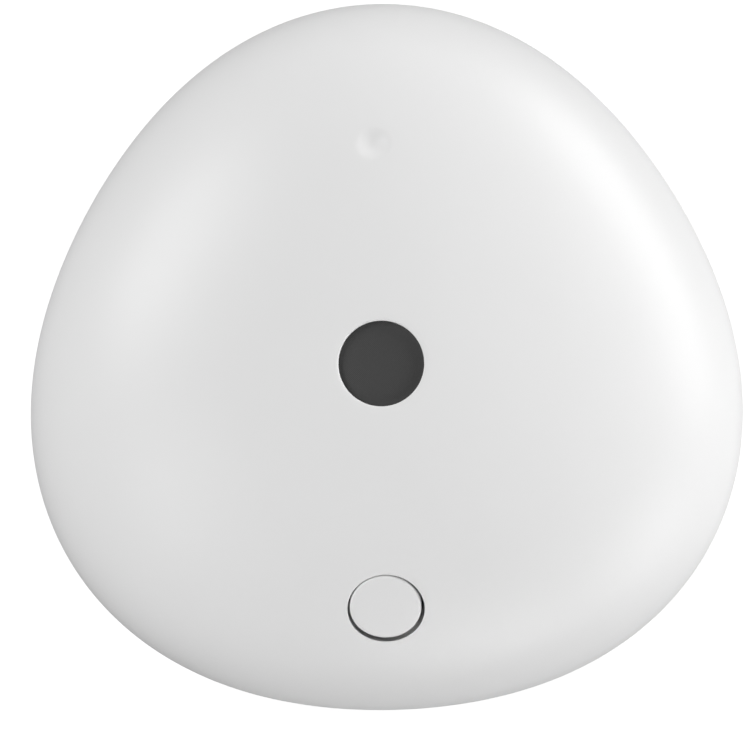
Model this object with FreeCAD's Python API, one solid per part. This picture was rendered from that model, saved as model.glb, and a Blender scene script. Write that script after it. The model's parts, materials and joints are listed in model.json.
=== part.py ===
import FreeCAD, Part
import math
import os

from FreeCAD import Placement, Rotation, Vector

# Smoke alarm, millimetres.
# +Z points out of the front face and +Y towards the indicator dimple.
# The origin is the centre of the mounting plate's rear face, on the twist axis.

# Outline seen from the front: a circle swollen into three lobes
mean_radius = 55.0
lobe_swell = 2.3
lobe_count = 3
first_lobe_angle = 90.0
outline_points = 12

# Heights of the casing
overall_height = 42.0
plate_thickness = 2.0
lock_space = 4.0
floor_thickness = 1.6
tray_lip = 1.0
vent_height = 4.0
rim_curl_height = 2.4
rim_curl_inset = 1.0
dome_power = 2.2
dome_sections = 8
dome_top_share = 0.09

# Casing walls
cover_wall = 2.2
tray_wall = 1.8
tray_inset = 2.0
foot_inset = 4.4
foot_clearance = 1.0
skirt_wall = 1.6
joint_gap = 0.3
cutter_overrun = 1.0

# Twist lock between the plate and the rear housing
plate_gap = 0.6
twist_range = 18.0
lock_count = 3
lock_angle = 110.0
lock_span = 14.0
collar_wall = 1.5
lip_reach = 3.0
lip_to_screw = 0.8
lip_thickness = 1.2
tab_thickness = 1.3
lock_clearance = 0.3
stop_span = 2.0
tab_lift = 0.7
rib_count = 8
rib_width = 1.2
rib_height = 1.2
hub_radius = 9.0

# Screw slots of the plate
slot_spacing = 60.0
slot_width = 4.5
slot_length = 8.0

# Vent grille behind the gap under the cover
grille_setback = 4.1
grille_depth = 2.0
rail_height = 1.2
fin_count = 60
fin_width = 1.4
fin_inset = 0.1

# Cover screws, one in each lobe
screw_diameter = 3.0
screw_head_diameter = 5.4
screw_head_height = 1.6
screw_fit = 0.05
screw_hole_gap = 0.2
boss_diameter = 7.0
boss_from_outline = 11.8
cover_screw_depth = 8.0

# Circuit board
board_thickness = 1.6
board_lift = 1.8
board_gap = 1.0
board_bay_gap = 0.4
standoff_diameter = 6.0
standoff_from_edge = 4.2
standoff_angles = (45.0, 115.0, 240.0, 315.0)
small_screw_diameter = 2.2
small_head_diameter = 4.2
small_head_height = 1.4
board_screw_length = 3.0

# Battery cell, lying along Y on the left of the board
cell_diameter = 17.0
cell_length = 34.5
cell_cap_diameter = 6.0
cell_cap_height = 1.0
cell_clearance = 0.4
cell_above_floor = 0.7
bay_wall = 1.2
bay_offset_y = 2.0
contact_thickness = 0.5
contact_width = 9.0
contact_height = 12.0
contact_space = 2.2
contact_tail_width = 3.0
contact_tail_reach = 2.6
contact_leaf_border = 1.0

# Optical smoke chamber
chamber_radius = 18.6
chamber_offset_x = 2.0
chamber_floor_thickness = 1.4
chamber_under_sounder = 3.2
chamber_cap_thickness = 1.4
chamber_foot = 0.2
chamber_foot_diameter = 2.4
chamber_foot_circle = 14.0
cap_rim_width = 1.0
cap_rim_height = 1.0
vane_count = 20
vane_thickness = 0.8
vane_inner_radius = 13.2
vane_outer_radius = 17.4
vane_sweep = 9.0
screen_thickness = 0.4
screen_slots = 24
screen_slot_share = 0.6
screen_fit = 0.1
screen_border = 1.2
sensor_diameter = 3.0
sensor_flange_diameter = 3.8
sensor_flange_thickness = 0.6
sensor_length = 5.0
sensor_clearance = 0.1
holder_width = 6.4
holder_length = 5.0
emitter_angle = 205.0
detector_angle = 335.0
lead_width = 0.5
lead_pitch = 2.0
lead_from_screen = 1.0

# Sounder under the central port
port_diameter = 13.7
port_round = 0.4
port_lip = 1.0
mesh_diameter = 16.8
mesh_thickness = 0.4
mesh_clearance = 0.2
gasket_width = 2.6
gasket_thickness = 1.2
neck_bore = 11.0
neck_wall = 1.8
neck_height = 2.6
cavity_radius = 11.5
cavity_height = 5.2
horn_wall = 1.4
piezo_diameter = 27.0
piezo_thickness = 0.3
ceramic_diameter = 20.0
ceramic_thickness = 0.25
piezo_clearance = 0.1
clamp_thickness = 1.4
ear_thickness = 1.6
ear_diameter = 6.0
ear_circle = 18.6
ear_angles = (30.0, 150.0, 270.0)
pillar_diameter = 5.4
sounder_screw_length = 7.0
strip_thickness = 0.4
strip_width = 2.4
strip_circle = 21.6
strip_angles = (62.0, 118.0)
strip_tip_radius = 7.0
strip_foot = 3.0
strip_below_clamp = 0.6

# Test button, square to the cover's surface
button_y = -37.2
button_diameter = 11.3
button_clearance = 0.3
button_edge_round = 0.35
button_cap_depth = 4.6
button_crown_thickness = 1.8
button_skirt_wall = 1.0
button_travel = 0.8
stem_diameter = 5.0
stem_fit = 0.1
collar_depth = 7.0
guide_wall = 2.0
guide_thickness = 1.6
clip_diameter = 8.0
clip_thickness = 0.7
clip_gap = 0.1
clip_fit = 0.02
spring_wire = 0.6
spring_turns = 4
spring_wire_sides = 8
spring_clearance = 0.3

# Tact switch under the button's stem
switch_size = 6.0
switch_height = 3.6
switch_corner_round = 0.5
plunger_diameter = 3.4
plunger_edge_round = 0.3
plunger_fit = 0.1
plunger_reach = 3.8
plunger_inside = 1.6
plunger_well_spare = 0.4
switch_gap = 0.2

# Indicator: dimple, light pipe and light emitting diode
dimple_y = 33.8
dimple_diameter = 6.3
dimple_depth = 0.6
pipe_diameter = 3.2
pipe_fit = 0.1
pipe_flange_diameter = 5.0
pipe_flange_thickness = 1.0
pipe_gap = 0.3
pipe_socket_depth = 7.0
pipe_socket_wall = 1.4
indicator_length = 3.2
indicator_width = 2.8
indicator_height = 1.9
indicator_lens_diameter = 1.9
indicator_moat_diameter = 2.3
indicator_moat_depth = 0.4

# Loose components on the board
controller_size = 7.0
controller_height = 1.0
controller_place = (0.0, 26.0)
controller_pins = 8
pin_width = 0.35
pin_reach = 0.8
pin_thickness = 0.3
capacitor_diameter = 8.0
capacitor_height = 11.5
capacitor_groove_lift = 1.4
capacitor_groove_width = 1.0
capacitor_groove_depth = 0.3
capacitor_place = (31.0, 9.0)
coil_diameter = 9.0
coil_height = 10.0
coil_flange_height = 1.2
coil_winding_inset = 1.2
coil_place = (31.0, -8.0)

# Heights worked out from the sizes above
floor_z = plate_thickness + lock_space
floor_top_z = floor_z + floor_thickness
lip_top_z = floor_z - lock_clearance
tab_z = plate_thickness + tab_lift
tray_top_z = floor_top_z + tray_lip
cover_rim_z = tray_top_z + vent_height
widest_z = cover_rim_z + rim_curl_height
dome_height = overall_height - widest_z
board_z = floor_top_z + board_lift
board_top_z = board_z + board_thickness
chamber_z = board_top_z + chamber_foot
mesh_top_z = overall_height - port_lip
mesh_z = mesh_top_z - mesh_thickness
horn_top_z = mesh_z - gasket_thickness
cavity_top_z = horn_top_z - neck_height
cavity_z = cavity_top_z - cavity_height
piezo_top_z = cavity_z
clamp_top_z = piezo_top_z - piezo_thickness - piezo_clearance
clamp_z = clamp_top_z - clamp_thickness
ear_top_z = clamp_top_z + ear_thickness
strip_z = clamp_z - strip_below_clamp - strip_thickness
chamber_top_z = clamp_z - small_head_height - chamber_under_sounder

# Radii and places worked out from the sizes above
narrow_radius = mean_radius - lobe_swell
wide_radius = mean_radius + lobe_swell
recess_radius = narrow_radius - foot_inset - skirt_wall
plate_radius = recess_radius - plate_gap
boss_circle = wide_radius - boss_from_outline
board_radius = boss_circle - boss_diameter / 2 - board_gap
standoff_circle = board_radius - standoff_from_edge
lip_radius = boss_circle - screw_head_diameter / 2 - lip_to_screw
collar_radius = lip_radius - lip_reach
screen_radius = chamber_radius + screen_thickness
bay_inner_radius = cell_diameter / 2 + cell_clearance
bay_outer_radius = bay_inner_radius + bay_wall
cell_x = chamber_offset_x - screen_radius - board_gap - bay_outer_radius
cell_z = floor_z + cell_above_floor + cell_diameter / 2
bay_half_length = cell_length / 2 + contact_space
lobe_angles = [first_lobe_angle + 360.0 / lobe_count * index for index in range(lobe_count)]
lock_angles = [lock_angle + 360.0 / lock_count * index for index in range(lock_count)]


# Plain shapes

def cylinder(radius, z0, z1, x=0.0, y=0.0):
    return Part.makeCylinder(radius, z1 - z0, Vector(x, y, z0))


def box(x0, x1, y0, y1, z0, z1):
    return Part.makeBox(x1 - x0, y1 - y0, z1 - z0, Vector(x0, y0, z0))


def ring(outer, inner, z0, z1, x=0.0, y=0.0):
    return cylinder(outer, z0, z1, x, y).cut(cylinder(inner, z0, z1, x, y))


def ring_sector(outer, inner, z0, z1, middle, span):
    sector = Part.makeCylinder(outer, z1 - z0, Vector(0, 0, z0), Vector(0, 0, 1), span)
    sector = sector.cut(cylinder(inner, z0, z1))
    sector.rotate(Vector(), Vector(0, 0, 1), middle - span / 2)
    return sector


def on_circle(radius, angle):
    return Vector(radius * math.cos(math.radians(angle)), radius * math.sin(math.radians(angle)), 0)


def turned(shape, angle):
    copy = shape.copy()
    copy.rotate(Vector(), Vector(0, 0, 1), angle)
    return copy


def revolved(profile):
    corners = [Vector(radius, 0, z) for radius, z in profile]
    face = Part.Face(Part.makePolygon(corners + corners[:1]))
    return face.revolve(Vector(), Vector(0, 0, 1), 360)


def screw(diameter, length, head_diameter, head_height):
    # Slotted head below z = 0, shank upwards from z = 0
    shank = cylinder(diameter / 2, 0, length)
    head = cylinder(head_diameter / 2, -head_height, 0)
    slot = box(-head_diameter, head_diameter, -diameter / 8, diameter / 8, -head_height, -head_height / 2)
    return head.cut(slot).fuse(shank).removeSplitter()


# The casing's lofted forms

def outline_radius(angle, inset=0.0):
    return mean_radius - inset + lobe_swell * math.cos(math.radians(lobe_count * (angle - first_lobe_angle)))


def outline_wire(z, inset, scale=1.0):
    # The curve's parameter is the angle, so that a loft joins the same places of every section
    angles = [360.0 / outline_points * index for index in range(outline_points + 1)]
    points = [on_circle(outline_radius(angle, inset) * scale, angle) + Vector(0, 0, z) for angle in angles[:-1]]
    curve = Part.BSplineCurve()
    curve.interpolate(Points=points, PeriodicFlag=True, Parameters=angles)
    return Part.Wire(curve.toShape())


def outline_prism(z0, z1, inset):
    return Part.Face(outline_wire(z0, inset)).extrude(Vector(0, 0, z1 - z0))


def outline_band(z0, z1, outer_inset, inner_inset):
    return outline_prism(z0, z1, outer_inset).cut(outline_prism(z0, z1, inner_inset))


def dome_wires(inset):
    # Superellipse meridian from the widest section up to the small top section
    height = dome_height - inset
    last_turn = math.acos(dome_top_share ** (dome_power / 2))
    wires = []
    for index in range(1, dome_sections + 1):
        turn = last_turn * index / dome_sections
        scale = math.cos(turn) ** (2 / dome_power)
        z = widest_z + height * math.sin(turn) ** (2 / dome_power)
        wires.append(outline_wire(z, inset, scale))
    return wires


def cover_outer():
    wires = []
    for share in (1.0, 2 / 3, 1 / 3, 0.0):
        turn = math.radians(90 * share)
        inset = rim_curl_inset * (1 - math.cos(turn))
        wires.append(outline_wire(widest_z - rim_curl_height * math.sin(turn), inset))
    return Part.makeLoft(wires + dome_wires(0.0), True, False)


def cover_inner(inset):
    wires = [outline_wire(cover_rim_z - cutter_overrun, inset), outline_wire(widest_z, inset)]
    return Part.makeLoft(wires + dome_wires(inset), True, False)


def surface_height(y, inset=0.0):
    # Height of the cover's surface, or of one inset from it, over the Y axis
    radius = (wide_radius if y > 0 else narrow_radius) - inset
    share = abs(y) / radius
    return widest_z + (dome_height - inset) * (1 - share ** dome_power) ** (1 / dome_power)


def surface_slope(y):
    # Angle between the cover's surface over the Y axis and the horizontal, in degrees
    radius = wide_radius if y > 0 else narrow_radius
    share = abs(y) / radius
    rise = (surface_height(y) - widest_z) / dome_height
    return math.degrees(math.atan(dome_height / radius * (share / rise) ** (dome_power - 1)))


# The button's own frame: its axis is square to the cover at the button's middle
button_tilt = surface_slope(button_y)
button_place = Placement(Vector(0, button_y, surface_height(button_y)), Rotation(Vector(1, 0, 0), button_tilt))
hole_radius = button_diameter / 2 + button_clearance
guide_z = -collar_depth - guide_thickness
switch_top_z = board_top_z + switch_height
plunger_top_z = switch_top_z + plunger_reach
stem_tip_z = plunger_top_z + switch_gap
stem_reach = (surface_height(button_y) - stem_tip_z) / math.cos(math.radians(button_tilt))
switch_y = button_y + stem_reach * math.sin(math.radians(button_tilt))


def at_button(shape):
    copy = shape.copy()
    copy.Placement = button_place.multiply(copy.Placement)
    return copy


# Mounting plate

def mounting_plate():
    plate = cylinder(plate_radius, 0, plate_thickness)
    collar = ring(collar_radius, collar_radius - collar_wall, plate_thickness, lip_top_z)
    plate = plate.fuse([collar, cylinder(hub_radius, plate_thickness, plate_thickness + rib_height)])
    for index in range(rib_count):
        rib = box(hub_radius / 2, collar_radius - collar_wall / 2, -rib_width / 2, rib_width / 2,
                  plate_thickness, plate_thickness + rib_height)
        plate = plate.fuse(turned(rib, 360.0 / rib_count * (index + 0.5)))
    for angle in lock_angles:
        plate = plate.fuse(lock_lip(angle))
    for angle in (0.0, 90.0, 180.0, 270.0):
        plate = plate.cut(turned(screw_slot(), angle))
    return plate.removeSplitter()


def lock_lip(angle):
    # Lip over the housing's tab, with a stop at each end of the tab's travel
    stop_gap = math.degrees(lock_clearance / lip_radius)
    near_stop = angle - lock_span / 2 - stop_gap - stop_span / 2
    far_stop = angle + lock_span / 2 + twist_range + stop_gap + stop_span / 2
    inner = collar_radius - collar_wall / 2
    lip_start = near_stop - stop_span / 2
    lip_end = angle + lock_span / 2
    lip = ring_sector(lip_radius, inner, lip_top_z - lip_thickness, lip_top_z,
                      (lip_start + lip_end) / 2, lip_end - lip_start)
    stops = [ring_sector(lip_radius, inner, plate_thickness, lip_top_z, middle, stop_span)
             for middle in (near_stop, far_stop)]
    return lip.fuse(stops)


def screw_slot():
    middle = slot_spacing / 2
    half = slot_length / 2 - slot_width / 2
    top = plate_thickness + rib_height
    ends = [cylinder(slot_width / 2, 0, top, middle + side * half) for side in (-1, 1)]
    return box(middle - half, middle + half, -slot_width / 2, slot_width / 2, 0, top).fuse(ends)


# Rear housing

def rear_housing():
    # The skirt leans out in a quarter wave from its foot to the lip under the vent gap
    wires = []
    for share in (0.0, 1 / 3, 2 / 3, 1.0):
        inset = foot_inset - (foot_inset - tray_inset) * math.sin(math.radians(90 * share))
        wires.append(outline_wire(foot_clearance + (tray_top_z - foot_clearance) * share, inset))
    tray = Part.makeLoft(wires, True, False)
    tray = tray.cut(cylinder(recess_radius, 0, floor_z))
    tray = tray.cut(outline_prism(floor_top_z, tray_top_z + cutter_overrun, tray_inset + tray_wall))
    tabs = [ring_sector(recess_radius + skirt_wall / 2, collar_radius + lock_clearance,
                        tab_z, tab_z + tab_thickness, angle, lock_span) for angle in lock_angles]
    tray = tray.fuse(tabs + [bay_block()] + standoffs())
    tray = tray.cut([bay_hollow()] + contact_slots() + standoff_holes() + cover_screw_holes())
    return tray.removeSplitter()


def bay_block():
    start = bay_offset_y - bay_half_length - bay_wall
    length = 2 * (bay_half_length + bay_wall)
    arch = Part.makeCylinder(bay_outer_radius, length, Vector(cell_x, start, cell_z), Vector(0, 1, 0))
    walls = box(cell_x - bay_outer_radius, cell_x + bay_outer_radius, start, start + length, floor_z, cell_z)
    above = box(cell_x - bay_outer_radius, cell_x + bay_outer_radius, start, start + length,
                floor_z, cell_z + bay_outer_radius)
    return arch.fuse(walls).common(above).removeSplitter()


def bay_hollow():
    start = bay_offset_y - bay_half_length
    length = 2 * bay_half_length
    arch = Part.makeCylinder(bay_inner_radius, length, Vector(cell_x, start, cell_z), Vector(0, 1, 0))
    mouth = box(cell_x - bay_inner_radius, cell_x + bay_inner_radius, start, start + length,
                floor_z - lock_space, cell_z)
    return arch.fuse(mouth).removeSplitter()


def contact_slots():
    half = contact_tail_width / 2 + joint_gap
    slots = []
    for side in (-1, 1):
        wall_y = bay_offset_y + side * (bay_half_length + bay_wall / 2)
        slots.append(box(cell_x - half, cell_x + half, wall_y - bay_wall, wall_y + bay_wall,
                         board_top_z, board_top_z + contact_thickness + joint_gap))
    return slots


def standoffs():
    posts = []
    for angle in standoff_angles:
        place = on_circle(standoff_circle, angle)
        posts.append(cylinder(standoff_diameter / 2, floor_z, board_z, place.x, place.y))
    return posts


def standoff_holes():
    holes = []
    for angle in standoff_angles:
        place = on_circle(standoff_circle, angle)
        holes.append(cylinder(small_screw_diameter / 2 + screw_fit, floor_z + floor_thickness / 2, board_z,
                              place.x, place.y))
    return holes


def cover_screw_holes():
    # Shank hole in the floor, with room for the head and the driver below it
    holes = []
    head_radius = screw_head_diameter / 2 + screw_hole_gap
    for angle in lobe_angles:
        place = on_circle(boss_circle, angle)
        holes.append(cylinder(screw_diameter / 2 + screw_hole_gap, floor_z, floor_top_z, place.x, place.y))
        holes.append(cylinder(head_radius, 0, floor_z, place.x, place.y))
    return holes


# Vent grille

def vent_grille():
    inner = grille_setback + grille_depth
    lower_top_z = floor_top_z + rail_height
    flange_z = cover_rim_z + joint_gap
    lower_rail = outline_band(floor_top_z, lower_top_z, grille_setback, inner)
    upper_rail = outline_band(flange_z, flange_z + rail_height, cover_wall + joint_gap, inner)
    fins = []
    for index in range(fin_count):
        angle = 360.0 / fin_count * index
        middle = outline_radius(angle, grille_setback + grille_depth / 2)
        half_depth = grille_depth / 2 - fin_inset
        fin = box(middle - half_depth, middle + half_depth, -fin_width / 2, fin_width / 2, lower_top_z, flange_z)
        fins.append(turned(fin, angle))
    return lower_rail.fuse(fins + [upper_rail])


# Front cover

def front_cover():
    inner = cover_inner(cover_wall)
    cover = cover_outer().cut(inner)
    core = cover_inner(cover_wall / 2)
    fittings = cover_bosses() + sounder_pillars() + [pipe_socket(), at_button(button_collar())]
    for fitting in fittings:
        cover = cover.fuse(fitting.common(core))
    cover = cover.fuse(cover_boss_feet())
    cover = cover.cut([port_cutter(), at_button(button_hole()), dimple_cutter(), pipe_bore()])
    return cover.cut(cover_boss_holes() + sounder_pillar_holes()).removeSplitter()


def cover_bosses():
    bosses = []
    for angle in lobe_angles:
        place = on_circle(boss_circle, angle)
        bosses.append(cylinder(boss_diameter / 2, cover_rim_z, overall_height, place.x, place.y))
    return bosses


def cover_boss_feet():
    # The bosses reach down past the vent gap and stand on the housing's floor
    feet = []
    for angle in lobe_angles:
        place = on_circle(boss_circle, angle)
        feet.append(cylinder(boss_diameter / 2, floor_top_z, cover_rim_z, place.x, place.y))
    return feet


def cover_boss_holes():
    holes = []
    for angle in lobe_angles:
        place = on_circle(boss_circle, angle)
        holes.append(cylinder(screw_diameter / 2 + screw_fit, floor_top_z, floor_top_z + cover_screw_depth,
                              place.x, place.y))
    return holes


def sounder_pillars():
    pillars = []
    for angle in ear_angles:
        place = on_circle(ear_circle, angle)
        pillars.append(cylinder(pillar_diameter / 2, ear_top_z, overall_height, place.x, place.y))
    return pillars


def sounder_pillar_holes():
    holes = []
    depth = sounder_screw_length - ear_thickness - clamp_thickness + joint_gap
    for angle in ear_angles:
        place = on_circle(ear_circle, angle)
        holes.append(cylinder(small_screw_diameter / 2 + screw_fit, ear_top_z, ear_top_z + depth,
                              place.x, place.y))
    return holes


def pipe_socket():
    radius = pipe_diameter / 2 + pipe_fit + pipe_socket_wall
    bottom = surface_height(dimple_y, cover_wall) - pipe_socket_depth
    return cylinder(radius, bottom, overall_height, 0, dimple_y)


def pipe_bore():
    bottom = surface_height(dimple_y, cover_wall) - pipe_socket_depth
    return cylinder(pipe_diameter / 2 + pipe_fit, bottom, pipe_top_z() + pipe_gap, 0, dimple_y)


def pipe_top_z():
    # The inner surface falls towards the outside, so the pipe ends below its outer edge
    return surface_height(dimple_y + pipe_diameter / 2, cover_wall) - pipe_gap


def button_collar():
    return cylinder(hole_radius + guide_wall, -collar_depth, cover_wall)


def button_hole():
    return cylinder(hole_radius, -collar_depth, cover_wall * 2)


def dimple_cutter():
    half = dimple_diameter / 2
    radius = (half ** 2 + dimple_depth ** 2) / (2 * dimple_depth)
    slope = math.radians(surface_slope(dimple_y))
    normal = Vector(0, math.sin(slope), math.cos(slope))
    middle = Vector(0, dimple_y, surface_height(dimple_y)) + normal * (radius - dimple_depth)
    return Part.makeSphere(radius, middle)


def port_cutter():
    # Straight bore, a rounded mouth outside and a seat for the mesh inside
    radius = port_diameter / 2
    mouth_z = surface_height(radius + port_round)
    start = Vector(radius, 0, mouth_z - port_round)
    middle = Vector(radius + port_round * (1 - math.cos(math.pi / 4)), 0,
                    mouth_z - port_round * (1 - math.sin(math.pi / 4)))
    end = Vector(radius + port_round, 0, mouth_z)
    over_z = overall_height + cutter_overrun
    corners = [end, Vector(end.x, 0, over_z), Vector(0, 0, over_z), Vector(0, 0, ear_top_z),
               Vector(mesh_diameter / 2 + mesh_clearance, 0, ear_top_z),
               Vector(mesh_diameter / 2 + mesh_clearance, 0, mesh_top_z),
               Vector(radius, 0, mesh_top_z), start]
    edges = [Part.makeLine(corners[index], corners[index + 1]) for index in range(len(corners) - 1)]
    edges.append(Part.Arc(start, middle, end).toShape())
    return Part.Face(Part.Wire(Part.__sortEdges__(edges))).revolve(Vector(), Vector(0, 0, 1), 360)


# Screws

def cover_screws():
    screws = []
    length = floor_thickness + cover_screw_depth - joint_gap
    for angle in lobe_angles:
        item = screw(screw_diameter, length, screw_head_diameter, screw_head_height)
        item.translate(on_circle(boss_circle, angle) + Vector(0, 0, floor_z))
        screws.append(item)
    return Part.makeCompound(screws)


def board_screws():
    screws = []
    for angle in standoff_angles:
        item = screw(small_screw_diameter, board_screw_length, small_head_diameter, small_head_height)
        item.rotate(Vector(), Vector(1, 0, 0), 180)
        item.translate(on_circle(standoff_circle, angle) + Vector(0, 0, board_top_z))
        screws.append(item)
    return Part.makeCompound(screws)


def sounder_screws():
    screws = []
    for angle in ear_angles:
        item = screw(small_screw_diameter, sounder_screw_length, small_head_diameter, small_head_height)
        item.translate(on_circle(ear_circle, angle) + Vector(0, 0, clamp_z))
        screws.append(item)
    return Part.makeCompound(screws)


# Circuit board and its components

def circuit_board():
    board = cylinder(board_radius, board_z, board_top_z)
    half = bay_half_length + bay_wall + board_bay_gap
    board = board.cut(box(-board_radius - cutter_overrun, cell_x + bay_outer_radius + board_bay_gap,
                          bay_offset_y - half, bay_offset_y + half, board_z, board_top_z))
    for angle in standoff_angles:
        place = on_circle(standoff_circle, angle)
        board = board.cut(cylinder(small_screw_diameter / 2 + screw_hole_gap, board_z, board_top_z,
                                   place.x, place.y))
    return board


def controller():
    x, y = controller_place
    half = controller_size / 2
    chip = box(x - half, x + half, y - half, y + half, board_top_z, board_top_z + controller_height)
    pitch = controller_size / (controller_pins + 1)
    for side in (-1, 1):
        for index in range(controller_pins):
            pin_y = y - half + pitch * (index + 1)
            start, end = sorted((x + side * half, x + side * (half + pin_reach)))
            chip = chip.fuse(box(start, end, pin_y - pin_width / 2, pin_y + pin_width / 2,
                                 board_top_z, board_top_z + pin_thickness))
    return chip.removeSplitter()


def capacitor():
    x, y = capacitor_place
    can = cylinder(capacitor_diameter / 2, board_top_z, board_top_z + capacitor_height, x, y)
    groove_z = board_top_z + capacitor_groove_lift
    groove = ring(capacitor_diameter / 2, capacitor_diameter / 2 - capacitor_groove_depth,
                  groove_z, groove_z + capacitor_groove_width, x, y)
    return can.cut(groove)


def sounder_coil():
    x, y = coil_place
    top = board_top_z + coil_height
    winding = cylinder(coil_diameter / 2 - coil_winding_inset, board_top_z, top, x, y)
    flanges = [cylinder(coil_diameter / 2, board_top_z, board_top_z + coil_flange_height, x, y),
               cylinder(coil_diameter / 2, top - coil_flange_height, top, x, y)]
    return winding.fuse(flanges).removeSplitter()


def status_led():
    half_length = indicator_length / 2
    half_width = indicator_width / 2
    body = box(-half_length, half_length, dimple_y - half_width, dimple_y + half_width,
               board_top_z, board_top_z + indicator_height)
    top = board_top_z + indicator_height
    moat = ring(indicator_moat_diameter / 2, indicator_lens_diameter / 2, top - indicator_moat_depth, top,
                0, dimple_y)
    return body.cut(moat)


def light_pipe():
    bottom = board_top_z + indicator_height + pipe_gap
    rod = cylinder(pipe_diameter / 2, bottom, pipe_top_z(), 0, dimple_y)
    flange = cylinder(pipe_flange_diameter / 2, bottom, bottom + pipe_flange_thickness, 0, dimple_y)
    return rod.fuse(flange).removeSplitter()


# Battery and contacts

def battery():
    start = bay_offset_y - cell_length / 2
    body_length = cell_length - cell_cap_height
    body = Part.makeCylinder(cell_diameter / 2, body_length, Vector(cell_x, start, cell_z), Vector(0, 1, 0))
    cap = Part.makeCylinder(cell_cap_diameter / 2, cell_length, Vector(cell_x, start, cell_z), Vector(0, 1, 0))
    return body.fuse(cap).removeSplitter()


def contact_plate(wall_y, side):
    # Flat plate on the bay's end wall with a tail through the wall onto the board
    face_y = wall_y - side * contact_thickness
    near, far = sorted((wall_y, face_y))
    bottom = max(cell_z - contact_height / 2, floor_top_z)
    plate = box(cell_x - contact_width / 2, cell_x + contact_width / 2, near, far,
                bottom, bottom + contact_height)
    tail_start, tail_end = sorted((face_y, wall_y + side * (bay_wall + board_bay_gap + contact_tail_reach)))
    tail = box(cell_x - contact_tail_width / 2, cell_x + contact_tail_width / 2, tail_start, tail_end,
               board_top_z, board_top_z + contact_thickness)
    return plate.fuse(tail)


def battery_contact_positive():
    wall_y = bay_offset_y + bay_half_length
    dome_length = contact_space - contact_thickness - joint_gap
    dimple = Part.makeCone(cell_cap_diameter / 2, cell_cap_diameter / 4, dome_length,
                           Vector(cell_x, wall_y - contact_thickness, cell_z), Vector(0, -1, 0))
    return contact_plate(wall_y, 1).fuse(dimple).removeSplitter()


def battery_contact_negative():
    # Bowed leaf that presses on the cell's flat end
    wall_y = bay_offset_y - bay_half_length
    reach = contact_space - joint_gap
    half = contact_height / 2 - contact_leaf_border
    outer = Part.Arc(Vector(cell_x, wall_y + contact_thickness / 2, cell_z - half),
                     Vector(cell_x, wall_y + reach, cell_z),
                     Vector(cell_x, wall_y + contact_thickness / 2, cell_z + half))
    inner = Part.Arc(Vector(cell_x, wall_y + contact_thickness / 2, cell_z - half + contact_thickness * 2),
                     Vector(cell_x, wall_y + reach - contact_thickness, cell_z),
                     Vector(cell_x, wall_y + contact_thickness / 2, cell_z + half - contact_thickness * 2))
    ends = [Part.makeLine(outer.StartPoint, inner.StartPoint), Part.makeLine(outer.EndPoint, inner.EndPoint)]
    wire = Part.Wire(Part.__sortEdges__([outer.toShape(), inner.toShape()] + ends))
    leaf = Part.Face(wire).extrude(Vector(contact_width / 2, 0, 0))
    leaf.translate(Vector(-contact_width / 4, 0, 0))
    return contact_plate(wall_y, -1).fuse(leaf).removeSplitter()


# Smoke chamber

def in_chamber(shape, angle=0.0):
    copy = turned(shape, angle)
    copy.translate(Vector(chamber_offset_x, 0, 0))
    return copy


def vane():
    # Bent vane: the air turns a corner between two of them, and light does not get through
    bottom = chamber_z + chamber_floor_thickness / 2
    top = chamber_top_z - chamber_cap_thickness
    knee_radius = (vane_inner_radius + vane_outer_radius) / 2
    path = [on_circle(vane_inner_radius, vane_sweep), on_circle(knee_radius, 0),
            on_circle(vane_outer_radius, vane_sweep)]
    half = Vector(0, vane_thickness / 2, 0)
    corners = [point + half for point in path] + [point - half for point in reversed(path)]
    lift = Vector(0, 0, bottom)
    face = Part.Face(Part.makePolygon([corner + lift for corner in corners + corners[:1]]))
    return face.extrude(Vector(0, 0, top - bottom))


def near_holder(angle):
    half_span = math.degrees((holder_width / 2 + 1) / vane_inner_radius) + vane_sweep / 2
    middle = angle + vane_sweep / 2
    return any(abs((middle - holder + 180) % 360 - 180) < half_span for holder in (emitter_angle, detector_angle))


def sensor_axis_z():
    # Half way up the inside of the chamber
    return (chamber_z + chamber_floor_thickness + chamber_top_z - chamber_cap_thickness) / 2


def chamber_base():
    floor = cylinder(chamber_radius - screen_fit, chamber_z, chamber_z + chamber_floor_thickness)
    for index in range(vane_count):
        angle = 360.0 / vane_count * index
        if not near_holder(angle):
            floor = floor.fuse(turned(vane(), angle))
    for angle in (emitter_angle, detector_angle):
        floor = floor.fuse(turned(sensor_holder(), angle))
        floor = floor.cut(turned(sensor_bore(), angle))
    feet = [cylinder(chamber_foot_diameter / 2, board_top_z, chamber_z + chamber_floor_thickness / 2, place.x, place.y)
            for place in [on_circle(chamber_foot_circle, 90.0 + 120 * index) for index in range(3)]]
    return in_chamber(floor.fuse(feet).removeSplitter())


def sensor_holder():
    top = sensor_axis_z() + holder_width / 2
    return box(vane_outer_radius - holder_length, vane_outer_radius, -holder_width / 2, holder_width / 2,
               chamber_z, top)


def sensor_bore():
    start = Vector(vane_outer_radius - holder_length - cutter_overrun, 0, sensor_axis_z())
    return Part.makeCylinder(sensor_diameter / 2 + sensor_clearance, holder_length + 2 * cutter_overrun, start,
                             Vector(1, 0, 0))


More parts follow.
